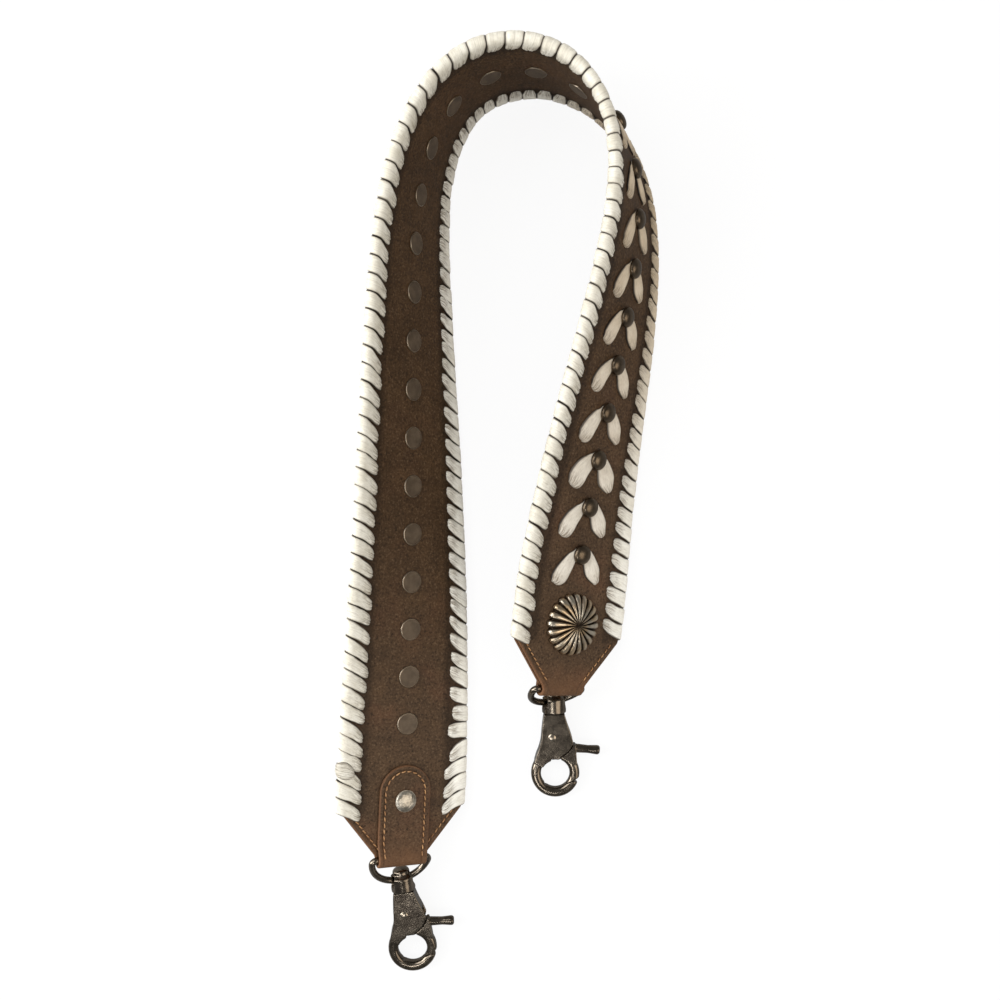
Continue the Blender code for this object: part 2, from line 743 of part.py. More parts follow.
def concho_rings(base):
    """Fluted dome rings, from the rim's underside up to the crown."""
    steps = 2 * CONCHO_PETALS
    angle = np.arange(steps) * 2 * math.pi / steps
    ridge = (np.arange(steps) % 2 == 0).astype(float)
    ring_shares = ((1.0, 0.0), (1.0, 0.2), (0.66, 0.72), (0.12, 1.0))
    rings = []
    for radius_share, height_share in ring_shares:
        flute = CONCHO_FLUTE_DEPTH * (1 - ridge) * radius_share
        radius = CONCHO_RADIUS * radius_share - flute
        height = base + CONCHO_HEIGHT * height_share - (flute if height_share > 0 else 0)
        if height_share == ring_shares[1][1]:
            height = np.full(steps, base + CONCHO_RIM_THICKNESS)
        rings.append(np.stack([radius * np.cos(angle), radius * np.sin(angle), height * np.ones(steps)], 1))
    return rings


def build_concho(end):
    along = concho_places()[end]
    base = FRONT_FACE + FIT_GAP
    concho = piece_at(f"{end}_concho", concho_rings(base), strap_matrix(along), old_silver())
    post_end = -TAB_OUTER_FACE
    post = piece_at(
        f"{end}_concho_post",
        turned(((POST_RADIUS, base + CONCHO_RIM_THICKNESS), (POST_RADIUS, post_end)), POST_SIDES),
        strap_matrix(along),
        None,
        smooth=0,
    )
    combine(concho, post, "UNION")
    bore = piece_at(
        f"{end}_concho_bore",
        turned(((POST_BORE_RADIUS, base), (POST_BORE_RADIUS, post_end - CUT_OVERRUN)), POST_SIDES),
        strap_matrix(along),
        None,
        smooth=0,
    )
    combine(concho, bore, "DIFFERENCE")
    head = -TAB_OUTER_FACE - FIT_GAP
    shoulder_share = 0.7
    screw = (
        (SCREW_SHAFT_RADIUS, base - FIT_GAP),
        (SCREW_SHAFT_RADIUS, head),
        (SCREW_HEAD_RADIUS, head),
        (SCREW_HEAD_RADIUS, head - SCREW_HEAD_HEIGHT * (1 - shoulder_share)),
        (SCREW_HEAD_RADIUS * shoulder_share, head - SCREW_HEAD_HEIGHT * shoulder_share),
        (SCREW_HEAD_RADIUS * (1 - shoulder_share), head - SCREW_HEAD_HEIGHT),
    )
    piece_at(
        f"{end}_concho_screw",
        turned(screw, SCREW_SIDES),
        strap_matrix(along),
        old_silver(),
    )


def halve(measure, low, high):
    """The value between low and high at which a falling measure crosses zero."""
    for _ in range(40):
        middle = (low + high) / 2
        if measure(middle) > 0:
            low = middle
        else:
            high = middle
    return low


def resting_frame(end):
    """The D-ring's bar and axes, and the eye's place and axes with the snap's tip on the table."""
    along = bar_along() if end == "left" else STRAP_LENGTH - bar_along()
    origin = place(along, 0, BAR_DEPTH)
    tangent = unit(read_lay("tangent", along))
    front = unit(read_lay("front", along))
    out, up = (-tangent, -front) if end == "left" else (tangent, front)
    slope = math.sin(math.radians(RING_SLOPE[end]))
    droop = halve(lambda a: out[2] * math.cos(a) - up[2] * math.sin(a) + slope, 0.0, math.pi / 2)
    fall = out * math.cos(droop) - up * math.sin(droop)
    rise = up * math.cos(droop) + out * math.sin(droop)
    side = np.cross(rise, fall)
    swing = math.radians(EYE_SWING[end])
    spoke = fall * math.cos(swing) + side * math.sin(swing)
    wire = side * math.cos(swing) - fall * math.sin(swing)
    bow = origin + spoke * ring_bow_radius()
    slack = math.radians(EYE_SLACK[end])
    line = spoke * math.cos(slack) + wire * math.sin(slack)
    reach = EYE_BORE_TO_BASE + FIT_GAP + SNAP_RING_DROP + SNAP_OPENING_RADIUS + SNAP_HOOK_WIDTH

    def tip_depth(pitch):
        hang = line * math.cos(pitch) + rise * math.sin(pitch)
        level = math.sqrt(1 - hang[2] ** 2)
        return LACE_FLAT_DEPTH + SNAP_HOOK_THICKNESS / 2 * level - bow[2] - reach * hang[2]

    pitch = halve(tip_depth, -math.pi / 6, math.pi / 2)
    hang = line * math.cos(pitch) + rise * math.sin(pitch)
    return {"bar": (origin, fall, side, rise), "bow": bow, "wire": wire, "hang": hang}


def matrix_of(origin, x_axis, y_axis, z_axis):
    matrix = Matrix.Identity(4)
    for column, axis in enumerate((x_axis, y_axis, z_axis)):
        for row in range(3):
            matrix[row][column] = axis[row]
    matrix.translation = Vector(origin)
    return matrix


def tube_rings(path, normals, radius, sides, closed):
    """Round rings along a path whose plane normals are given."""
    path = np.asarray(path, float)
    if closed:
        ahead, behind = np.roll(path, -1, 0), np.roll(path, 1, 0)
    else:
        ahead = np.r_[path[1:], path[-1:]]
        behind = np.r_[path[:1], path[:-1]]
    tangent = unit(ahead - behind)
    side = unit(np.cross(normals, tangent))
    return [disc(p, s, n, radius, sides) for p, s, n in zip(path, side, np.cross(tangent, side))]


def ring_bow_radius():
    return END_WIDTH / 2 + RING_SIDE_GAP + RING_WIRE_RADIUS


def build_d_ring(end, frame):
    """Bar along Y at the origin and a half-round bow on the +X side."""
    bow = ring_bow_radius()
    corner = RING_CORNER_RADIUS
    turn = math.asin(corner / (bow - corner))
    centre_across = (bow - corner) * math.cos(turn)
    bow_angles = np.linspace(math.pi / 2 - turn, -(math.pi / 2 - turn), RING_BOW_STEPS + 1)
    bow_points = [(bow * math.cos(a), bow * math.sin(a), 0) for a in bow_angles]
    upper = [
        (corner + corner * math.cos(a), centre_across + corner * math.sin(a), 0)
        for a in np.linspace(math.pi, math.pi / 2 - turn, RING_CORNER_STEPS + 1)[1:-1]
    ]
    lower = [(x, -y, z) for x, y, z in reversed(upper)]
    path = [(0, -centre_across, 0), (0, 0, 0), (0, centre_across, 0)] + upper + bow_points + lower
    normals = np.tile(np.array([0, 0, 1.0]), (len(path), 1))
    rings = tube_rings(path, normals, RING_WIRE_RADIUS, RING_SIDES, True)
    return piece_at(f"{end}_d_ring", rings, frame, dark_metal(), closed=True)


def build_swivel_eye(end, frame):
    """A turned knob and block on the D-ring's bow, with a cross bore and a headed post."""
    base = -EYE_BORE_TO_BASE
    neck = base - FIT_GAP - SNAP_NECK_LENGTH - FIT_GAP
    slope = EYE_BLOCK_RADIUS - EYE_KNOB_RADIUS
    profile = (
        (EYE_KNOB_RADIUS * 0.45, EYE_BORE_TO_TOP),
        (EYE_KNOB_RADIUS, EYE_BORE_TO_TOP - EYE_KNOB_RADIUS * 0.5),
        (EYE_KNOB_RADIUS, EYE_BORE_TO_SHOULDER + slope * 0.6),
        (EYE_BLOCK_RADIUS, EYE_BORE_TO_SHOULDER),
        (EYE_BLOCK_RADIUS, base),
        (EYE_POST_RADIUS, base),
        (EYE_POST_RADIUS, neck),
        (EYE_POST_HEAD_RADIUS, neck),
        (EYE_POST_HEAD_RADIUS, neck - EYE_POST_HEAD_HEIGHT),
    )
    eye = piece_at(f"{end}_swivel_eye", turned(profile, EYE_SIDES), frame, dark_metal())
    x, z = np.array([1.0, 0, 0]), np.array([0, 0, 1.0])
    reach = EYE_BLOCK_RADIUS + CUT_OVERRUN
    flare = ((-reach, EYE_BORE_MOUTH_RADIUS), (0, EYE_BORE_RADIUS), (reach, EYE_BORE_MOUTH_RADIUS))
    bore_rings = [disc(np.array([0, y, 0]), x, z, radius, EYE_SIDES) for y, radius in flare]
    bore = piece_at(f"{end}_eye_bore", bore_rings, frame, None, smooth=0)
    combine(eye, bore, "DIFFERENCE")
    return eye


def arc(centre, radius, start, stop, steps):
    """Points on an arc, angles in degrees."""
    angle = np.radians(np.linspace(start, stop, steps))
    return [(centre[0] + radius * math.cos(a), centre[1] + radius * math.sin(a)) for a in angle]


def bore_outline(centre, radius):
    """Outline of a round hole with HOLE_SIDES sides."""
    return arc(centre, radius, 0, 360 * (1 - 1 / HOLE_SIDES), HOLE_SIDES)


def plate(outline, low, high):
    """Rings of a flat plate from its outline in the snap's plane."""
    return [[(x, y, height) for x, y in outline] for height in (low, high)]


def hook_rings(start, stop, steps):
    """Rounded-square sections swept round the snap's opening, angles in degrees."""
    middle = SNAP_OPENING_RADIUS + SNAP_HOOK_WIDTH / 2
    half_wide, half_thick = SNAP_HOOK_WIDTH / 2, SNAP_HOOK_THICKNESS / 2
    corner = SNAP_CHAMFER
    section = [
        (half_wide, half_thick - corner),
        (half_wide - corner, half_thick),
        (-half_wide + corner, half_thick),
        (-half_wide, half_thick - corner),
        (-half_wide, -half_thick + corner),
        (-half_wide + corner, -half_thick),
        (half_wide - corner, -half_thick),
        (half_wide, -half_thick + corner),
    ]
    rings = []
    for angle in np.radians(np.linspace(start, stop, steps)):
        rings.append(
            [
                (
                    (middle + a) * math.cos(angle),
                    -SNAP_RING_DROP + (middle + a) * math.sin(angle),
                    b,
                )
                for a, b in section
            ]
        )
    return rings


def build_snap_body(end, frame):
    """Two cheeks, open between for the gate, and a hook round the opening."""
    pivot = SNAP_PIVOT
    centre = (0, -SNAP_RING_DROP)
    outer = SNAP_OPENING_RADIUS + SNAP_HOOK_WIDTH
    outline = [(x * MM, y * MM) for x, y in SNAP_RIGHT_SIDE]
    outline += arc(pivot, SNAP_CHEEK_RADIUS, -24, -92, 6)
    outline += arc(centre, SNAP_OPENING_RADIUS, 108, 150, 4)
    outline += arc(centre, outer, 150, 148, 1)
    outline += [(x * MM, y * MM) for x, y in reversed(SNAP_LEFT_SIDE)]
    half = SNAP_THICKNESS / 2
    body = piece_at(f"{end}_snap_body", plate(outline, -half, half), frame, dark_metal())
    bevel = body.modifiers.new("softened_edges", "BEVEL")
    bevel.width = SNAP_CHAMFER
    bevel.segments = 1
    bevel.limit_method = "ANGLE"
    hook = piece_at(
        f"{end}_hook",
        hook_rings(SNAP_HOOK_START, 360 + SNAP_NOSE_DEGREES, 10),
        frame,
        None,
        smooth=0,
    )
    sweep = plate(arc(pivot, SNAP_JAW_SWEEP + FIT_GAP, -100, -20, 9) + [pivot], -half, half)
    combine(hook, piece_at(f"{end}_jaw_path", sweep, frame, None, smooth=0), "DIFFERENCE")
    combine(body, hook, "UNION")
    slot_half = SNAP_SLOT_WIDTH / 2
    far = SNAP_CHEEK_RADIUS + SNAP_HOOK_WIDTH / 2
    slot = arc(pivot, SNAP_HUB_RADIUS + 2 * FIT_GAP, 45, 222, 8)
    slot += arc(pivot, far, -112, 0, 4)
    slot_cut = piece_at(f"{end}_gate_slot", plate(slot, -slot_half, slot_half), frame, None, smooth=0)
    combine(body, slot_cut, "DIFFERENCE")
    up = np.array([0, 1.0, 0])
    side_a, side_b = np.array([1.0, 0, 0]), np.array([0, 0, 1.0])
    neck = SNAP_NECK_LENGTH
    swivel_bore = [
        disc(up * CUT_OVERRUN, side_a, side_b, EYE_POST_RADIUS + FIT_GAP, EYE_SIDES),
        disc(-up * neck, side_a, side_b, EYE_POST_RADIUS + FIT_GAP, EYE_SIDES),
        disc(-up * neck, side_a, side_b, EYE_POST_HEAD_RADIUS + FIT_GAP, EYE_SIDES),
        disc(-up * (neck + SNAP_HEAD_ROOM), side_a, side_b, EYE_POST_HEAD_RADIUS + FIT_GAP, EYE_SIDES),
    ]
    combine(body, piece_at(f"{end}_swivel_bore", swivel_bore, frame, None, smooth=0), "DIFFERENCE")
    pin_hole = plate(bore_outline(pivot, PIN_RADIUS + FIT_GAP), -half - CUT_OVERRUN, half + CUT_OVERRUN)
    combine(body, piece_at(f"{end}_pin_hole", pin_hole, frame, None, smooth=0), "DIFFERENCE")
    return body


def build_gate(end, frame):
    """A hub between the cheeks, a jaw that closes the opening and a thumb piece."""
    pivot = SNAP_PIVOT
    half_hub = SNAP_SLOT_WIDTH / 2 - FIT_GAP
    half_jaw = SNAP_HOOK_THICKNESS / 2
    reach = SNAP_CHEEK_RADIUS + 2 * FIT_GAP
    hub = arc(pivot, SNAP_HUB_RADIUS, 40, 240, 8)
    hub += arc(pivot, reach + SNAP_CHAMFER, -84, -26, 4)
    gate = piece_at(f"{end}_gate", plate(hub, -half_hub, half_hub), frame, dark_metal())
    jaw = piece_at(f"{end}_jaw", hook_rings(-62, SNAP_JAW_TOP, 8), frame, None, smooth=0)
    shoulder = arc(pivot, reach - SNAP_CHAMFER, -76, -24, 4)
    shoulder += [(THUMB_ROOT[0], THUMB_ROOT[1] + THUMB_RADIUS), *SHOULDER_FOOT]
    block = piece_at(f"{end}_shoulder", plate(shoulder, -half_jaw, half_jaw), frame, None, smooth=0)
    combine(jaw, block, "UNION")
    keep = arc(pivot, reach, -110, 0, 8) + arc(pivot, SNAP_JAW_SWEEP, 0, -110, 12)
    trim = piece_at(
        f"{end}_jaw_trim",
        plate(keep, -half_jaw - CUT_OVERRUN, half_jaw + CUT_OVERRUN),
        frame,
        None,
        smooth=0,
    )
    combine(jaw, trim, "INTERSECT")
    combine(gate, jaw, "UNION")
    z = np.array([0, 0, 1.0])
    root = np.array([*THUMB_ROOT, 0])
    run = np.array([*THUMB_END, 0]) - root
    square = np.cross(z, unit(run))
    stops = ((0, 1.0), (0.55, 0.9), (0.93, 1.1), (1.0, 0.6))
    thumb_rings = [
        disc(root + run * share, square, z, THUMB_RADIUS * size, 8, math.pi / 8) for share, size in stops
    ]
    combine(gate, piece_at(f"{end}_thumb", thumb_rings, frame, None, smooth=0), "UNION")
    pin_hole = plate(
        bore_outline(pivot, PIN_RADIUS + FIT_GAP), -half_hub - CUT_OVERRUN, half_hub + CUT_OVERRUN
    )
    combine(gate, piece_at(f"{end}_gate_hole", pin_hole, frame, None, smooth=0), "DIFFERENCE")
    seat = plate(
        bore_outline(pivot, SPRING_COIL_RADIUS + SPRING_WIRE_RADIUS + FIT_GAP),
        half_hub - SPRING_SEAT_DEPTH,
        half_hub + CUT_OVERRUN,
    )
    combine(gate, piece_at(f"{end}_spring_seat", seat, frame, None, smooth=0), "DIFFERENCE")
    return gate


def build_pin_and_spring(end, frame):
    drop = np.array([*SNAP_PIVOT, 0])
    x, y = np.array([1.0, 0, 0]), np.array([0, 1.0, 0])
    face = SNAP_THICKNESS / 2 + FIT_GAP
    profile = (
        (PIN_HEAD_RADIUS, -face - PIN_HEAD_HEIGHT),
        (PIN_HEAD_RADIUS, -face),
        (PIN_RADIUS, -face),
        (PIN_RADIUS, face),
        (PIN_HEAD_RADIUS, face),
        (PIN_HEAD_RADIUS, face + PIN_HEAD_HEIGHT),
    )
    rings = [disc(drop + np.array([0, 0, h]), x, y, r, POST_SIDES) for r, h in profile]
    piece_at(f"{end}_pivot_pin", rings, frame, dark_metal())
    low = SNAP_SLOT_WIDTH / 2 - FIT_GAP - SPRING_SEAT_DEPTH + FIT_GAP + SPRING_WIRE_RADIUS
    angle = np.arange(SPRING_TURNS * SPRING_STEPS + 1) * 2 * math.pi / SPRING_STEPS
    path = np.stack(
        [
            SPRING_COIL_RADIUS * np.cos(angle),
            SPRING_COIL_RADIUS * np.sin(angle),
            low + SPRING_PITCH * angle / (2 * math.pi),
        ],
        1,
    ) + drop
    normals = np.tile(np.array([0, 0, 1.0]), (len(path), 1))
    piece_at(
        f"{end}_gate_spring",
        tube_rings(path, normals, SPRING_WIRE_RADIUS, 4, False),
        frame,
        old_silver(),
    )


def build_end(end):
    """The D-ring, the swivel eye and the snap of one end, each about its own joint's axis."""
    rest = resting_frame(end)
    build_d_ring(end, matrix_of(*rest["bar"]))
    bow, wire, hang = rest["bow"], rest["wire"], rest["hang"]
    bore = unit(wire - np.dot(wire, hang) * hang)
    build_swivel_eye(end, matrix_of(bow, np.cross(bore, -hang), bore, -hang))
    face = unit(np.array([0, 0, 1.0]) - hang[2] * hang)
    right = np.cross(-hang, face)
    snap_top = bow + hang * (EYE_BORE_TO_BASE + FIT_GAP)
    snap_frame = matrix_of(snap_top, right, -hang, face)
    build_snap_body(end, snap_frame)
    build_gate(end, snap_frame)
    build_pin_and_spring(end, snap_frame)
    pivot = snap_top + right * SNAP_PIVOT[0] - hang * SNAP_PIVOT[1]
    return {
        "d_ring": (rest["bar"][0], rest["bar"][2]),
        "eye": (bow, wire),
        "swivel": (bow, hang),
        "gate": (pivot, face),
    }


def world_corners(obj, graph):
    evaluated = obj.evaluated_get(graph)
    mesh = evaluated.to_mesh()
    points = np.empty(len(mesh.vertices) * 3, np.float32)
    mesh.vertices.foreach_get("co", points)
    evaluated.to_mesh_clear()
    matrix = np.array(obj.matrix_world, float)
    return points.reshape(-1, 3) @ matrix[:3, :3].T + matrix[:3, 3]


def seat_on_table(joints):
    """Moves the whole strap so that its box stands centred on the origin, and prints the joints."""
    bpy.context.view_layer.update()
    graph = bpy.context.evaluated_depsgraph_get()
    shown = [obj for obj in bpy.context.scene.objects if not obj.hide_render]
    points = np.concatenate([world_corners(obj, graph) for obj in shown])
    low, high = points.min(0), points.max(0)
    shift = -np.array([(low[0] + high[0]) / 2, (low[1] + high[1]) / 2, low[2]])
    move = Matrix.Translation(Vector(shift))
    for obj in bpy.context.scene.objects:
        obj.matrix_world = move @ obj.matrix_world
    for end, places in joints.items():
        for name, (origin, axis) in places.items():
            print("joint", end, name, np.round(origin + shift, 6).tolist(), np.round(axis, 6).tolist())
    print("shift", np.round(shift, 6).tolist(), "size", np.round(high - low, 5).tolist())


def build():
    clear_scene()
    build_front_leather()
    build_liner()
    build_edge_lacing("outer_edge_lacing", 1, OUTER_LACE_REACH)
    inner_lacing = build_edge_lacing("inner_edge_lacing", -1, INNER_LACE_REACH)
    flatten_below(inner_lacing, LACE_FLAT_DEPTH)
    build_chevron_lace()
    build_rivets()
    joints = {}
    for end in ("left", "right"):
        build_concho(end)
        joints[end] = build_end(end)
    seat_on_table(joints)


build()
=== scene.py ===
"""Looks for a leather bag strap laid in an arch: oiled leather, whip lacing, riveted lace chevrons,
conchos and swivel snaps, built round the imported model. Metres, +Z up, standing on z = 0."""

import json
import math

import bmesh
import bpy
import numpy as np
from mathutils import Matrix, Vector


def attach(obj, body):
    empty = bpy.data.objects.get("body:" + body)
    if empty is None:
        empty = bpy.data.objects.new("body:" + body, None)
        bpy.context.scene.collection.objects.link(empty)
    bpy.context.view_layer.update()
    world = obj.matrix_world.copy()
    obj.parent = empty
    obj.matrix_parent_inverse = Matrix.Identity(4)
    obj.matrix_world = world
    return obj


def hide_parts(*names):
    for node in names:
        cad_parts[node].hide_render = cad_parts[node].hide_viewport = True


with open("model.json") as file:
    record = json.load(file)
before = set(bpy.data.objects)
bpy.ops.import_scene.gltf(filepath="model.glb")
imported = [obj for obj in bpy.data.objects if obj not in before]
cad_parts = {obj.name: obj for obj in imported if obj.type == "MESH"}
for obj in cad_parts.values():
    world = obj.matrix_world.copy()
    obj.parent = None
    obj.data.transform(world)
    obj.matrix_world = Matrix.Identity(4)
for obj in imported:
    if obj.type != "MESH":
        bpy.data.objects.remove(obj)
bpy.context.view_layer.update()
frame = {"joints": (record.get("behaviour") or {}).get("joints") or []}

MM = 0.001
UPWARD = np.array([0, 0, 1.0])

# Leather, as the solids have it
STRAP_LENGTH = 583.5 * MM
HALF_WIDTH = 24.3 * MM
FRONT_THICKNESS = 1.3 * MM
LINER_THICKNESS = 1.1 * MM
LAYER_GAP = 0.8 * MM
FRONT_FACE = LAYER_GAP / 2 + FRONT_THICKNESS
LINER_FACE = LAYER_GAP / 2 + LINER_THICKNESS
FIT_GAP = 0.25 * MM
END_WIDTH = 19.4 * MM
TAB_RADIUS = 10.3 * MM
TAPER_FOOT = 3.7 * MM
TAPER_LENGTH = 21.5 * MM
TAPER_SLANT = 0.76
TAB_LENGTH = 39.0 * MM
TAB_SETTLE_LENGTH = 8.0 * MM
RING_WIRE_RADIUS = 1.3 * MM
FOLD_INNER_RADIUS = RING_WIRE_RADIUS + FIT_GAP
FOLD_OUTER_RADIUS = FOLD_INNER_RADIUS + FRONT_THICKNESS
BAR_ALONG = FOLD_OUTER_RADIUS
BAR_DEPTH = LAYER_GAP / 2 - FOLD_INNER_RADIUS
TAB_INNER_FACE = LINER_FACE + FIT_GAP
TAB_OUTER_FACE = TAB_INNER_FACE + FRONT_THICKNESS

# How the strap lies: share of the length between its straight ends, heading and lean in degrees
STRAIGHT_END_LENGTH = 44.0 * MM
LAY_SHARES = (
    (0.00, 87.5, 25.0), (0.10, 88.5, 34.0), (0.20, 89.5, 44.0),
    (0.30, 89.5, 54.0), (0.385, 87.0, 62.5), (0.435, 79.5, 68.5),
    (0.475, 66.0, 73.5), (0.505, 49.0, 78.0), (0.535, 23.0, 82.5),
    (0.57, -5.5, 87.5), (0.605, -33.0, 93.5), (0.64, -57.0, 101.0),
    (0.68, -77.5, 109.0), (0.73, -93.0, 116.5), (0.79, -99.5, 124.0),
    (0.86, -101.0, 131.5), (0.93, -99.5, 138.5), (1.00, -96.5, 146.0),
)
LAY_STEPS = 1200
EDGE_ROUNDING = 0.08
TABLE_SHIFT = np.array([-39.037, -131.43, -0.483]) * MM

# Lace and fastenings
LACE_THICKNESS = 0.85 * MM
LACE_GAP = 0.35 * MM
LACE_EDGE_EXTRA = 0.7 * MM
LACE_END_MARGIN = 22.0 * MM
WRAP_COUNT = 86
WRAP_PITCH = (STRAP_LENGTH - 2 * LACE_END_MARGIN) / WRAP_COUNT
SPLICES = (38.6 * MM,)
SPLICE_REACH = 3.7 * MM
SPLICE_LIFT = 0.6 * MM
LEAN_PLACES = (0, 190, 285, 370, 440, 580)
FRONT_LEANS = (0.40, 0.45, 0.45, 0.22, 0.66, 0.56)
BACK_LEANS = (0.92, 0.86, 0.30, 0.25, 0.66, 0.7)
RIVET_COUNT = 27
RIVET_END_MARGIN = 55.0 * MM
RIVET_PITCH = (STRAP_LENGTH - 2 * RIVET_END_MARGIN) / (RIVET_COUNT - 1)
RIVET_PLACES = [RIVET_END_MARGIN + number * RIVET_PITCH for number in range(RIVET_COUNT)]
SLOT_ALONG = 10.2 * MM
SLOT_ACROSS = 9.3 * MM
CONCHO_FROM_FOLD = {"left": 25.5 * MM, "right": 28.0 * MM}
CONCHO_REACH = 12.0 * MM
CONCHO_PETALS = 20
STITCH_PITCH = 2.35 * MM
STITCH_LENGTH = 1.9 * MM
SPECK_HEIGHT = 0.018 * MM
ENDS = ("left", "right")


def smooth_through(x, xs, ys):
    """Cubic Hermite curve through the points (xs, ys), read at x."""
    xs = np.asarray(xs, float)
    ys = np.asarray(ys, float)
    slopes = np.gradient(ys, xs)
    i = np.clip(np.searchsorted(xs, x) - 1, 0, len(xs) - 2)
    span = xs[i + 1] - xs[i]
    t = (x - xs[i]) / span
    return (
        (2 * t**3 - 3 * t**2 + 1) * ys[i]
        + (t**3 - 2 * t**2 + t) * span * slopes[i]
        + (3 * t**2 - 2 * t**3) * ys[i + 1]
        + (t**3 - t**2) * span * slopes[i + 1]
    )


def running_sum(values, steps):
    """Trapezium sum of values along steps, starting at zero."""
    return np.r_[0.0, np.cumsum((values[1:] + values[:-1]) / 2 * np.diff(steps))]


def unit(vectors):
    return vectors / np.linalg.norm(vectors, axis=-1, keepdims=True)


def eased(low, high, x):
    """Smooth step from 0 at low to 1 at high."""
    t = np.clip((x - low) / (high - low), 0, 1)
    return t * t * (3 - 2 * t)


def run_along(points):
    """Distance along a polyline at each of its points."""
    return np.r_[0, np.cumsum(np.linalg.norm(np.diff(points, axis=0), axis=1))]


def round_angles(sides):
    return np.arange(sides) * 2 * math.pi / sides


def round_rings(radius, height, angle):
    """Rings about +Z, at the radii and heights given for each angle."""
    return np.stack(np.broadcast_arrays(radius * np.cos(angle), radius * np.sin(angle), height), -1)


def turned_rings(profile, sides):
    """Rings of a turned piece from its (radius, height) profile."""
    radius, height = np.asarray(profile, float).T[..., None]
    return round_rings(radius, height, round_angles(sides))


def around(side, up, sides):
    """Unit circles in the planes of the side and up directions."""
    angle = round_angles(sides)[:, None]
    return np.cos(angle) * side[..., None, :] + np.sin(angle) * up[..., None, :]


def resting_height(lean):
    """Height of the strap's middle at which its lower laced edge just touches the table."""
    edge = HALF_WIDTH + LACE_GAP + LACE_THICKNESS + LACE_EDGE_EXTRA
    face = FRONT_FACE + LACE_GAP + LACE_THICKNESS
    across, out = np.sin(lean), np.sqrt(np.cos(lean) ** 2 + EDGE_ROUNDING**2)
    corner = LACE_THICKNESS
    return np.maximum(
        (edge - LACE_EDGE_EXTRA - 2 * corner) * across + face * out,
        edge * across + (face - 2 * corner) * out,
    )


def lay_strap():
    """The middle line of the strap and its frame: along, across (to the outer edge) and front."""
    along = np.linspace(0, STRAP_LENGTH, LAY_STEPS + 1)
    bending = STRAP_LENGTH - 2 * STRAIGHT_END_LENGTH
    share = np.clip((along - STRAIGHT_END_LENGTH) / bending, 0, 1)
    shares, headings, leans = zip(*LAY_SHARES)
    heading = np.radians(smooth_through(share, shares, headings))
    lean = np.radians(smooth_through(share, shares, leans))
    rise = resting_height(lean)
    slope = np.gradient(rise, along)
    level = np.sqrt(1 - slope**2)
    x = running_sum(level * np.cos(heading), along)
    y = running_sum(level * np.sin(heading), along)
    tangent = np.stack([level * np.cos(heading), level * np.sin(heading), slope], 1)
    flat = np.zeros_like(heading)
    leftward = np.stack([-np.sin(heading), np.cos(heading), flat], 1)
    across = leftward * np.cos(lean)[:, None] + UPWARD * np.sin(lean)[:, None]
    across = unit(across - (across * tangent).sum(1)[:, None] * tangent)
    return {
        "along": along,
        "centre": np.stack([x, y, rise], 1) + TABLE_SHIFT,
        "tangent": tangent,
        "across": across,
        "front": np.cross(across, tangent),
    }


LAY = lay_strap()


def read_lay(name, along):
    return np.stack([np.interp(along, LAY["along"], LAY[name][:, i]) for i in range(3)], -1)


def place(along, across, out):
    """World points at a length along the strap, an offset across it and a height above its middle."""
    along, across, out = np.broadcast_arrays(*(np.asarray(v, float) for v in (along, across, out)))
    inside = np.clip(along, 0, STRAP_LENGTH)
    centre = read_lay("centre", inside) + (along - inside)[..., None] * read_lay("tangent", inside)
    return (
        centre
        + across[..., None] * read_lay("across", inside)
        + out[..., None] * read_lay("front", inside)
    )


def on_strap(along, points):
    """Rigid points given as (along, across, out) about a place on the strap's middle."""
    tangent, front = unit(read_lay("tangent", along)), unit(read_lay("front", along))
    axes = np.stack([tangent, np.cross(front, tangent), front])
    return np.asarray(points) @ axes + read_lay("centre", along)


def surface(name, points, marks=None, looped=False, sharp=None):
    """A skin over grids of points (pieces, rings, round the ring, 3): quads between neighbours, each
    ring closed on itself, and each end closed by a fan to its middle."""
    points = np.asarray(points, float)
    if points.ndim == 3:
        points = points[None]
    pieces, rings, sides = points.shape[:3]
    index = np.arange(pieces * rings * sides).reshape(pieces, rings, sides)
    below, above = (index, np.roll(index, -1, 1)) if looped else (index[:, :-1], index[:, 1:])
    quads = np.stack([below, np.roll(below, -1, 2), np.roll(above, -1, 2), above], -1)
    faces = quads.reshape(-1, 4).tolist()
    if not looped:
        first, last = index[:, 0], index[:, -1]
        middle = index.size + np.arange(pieces * 2).reshape(pieces, 2, 1)
        middle = np.broadcast_to(middle, (pieces, 2, sides))
        fans = [
            np.stack([np.roll(first, -1, 1), first, middle[:, 0]], -1),
            np.stack([last, np.roll(last, -1, 1), middle[:, 1]], -1),
        ]
        faces += np.concatenate(fans).reshape(-1, 3).tolist()

    def listed(grid):
        """The grid's points one by one, and the middles of its end rings after them."""
        middles = [] if looped else [grid[:, [0, -1]].mean(2).reshape(-1, 3)]
        return np.concatenate([grid.reshape(-1, 3), *middles])

    mesh = bpy.data.meshes.new(name)
    mesh.from_pydata(listed(points).tolist(), [], faces)
    if marks is not None:
        layer = mesh.attributes.new("marks", "FLOAT_VECTOR", "POINT")
        values = listed(np.asarray(marks, float).reshape(points.shape))
        layer.data.foreach_set("vector", values.astype(np.float32).ravel())
    return finish_mesh(name, mesh, sharp)


def add_object(name, data):
    obj = bpy.data.objects.new(name, data)
    bpy.context.scene.collection.objects.link(obj)
    return obj


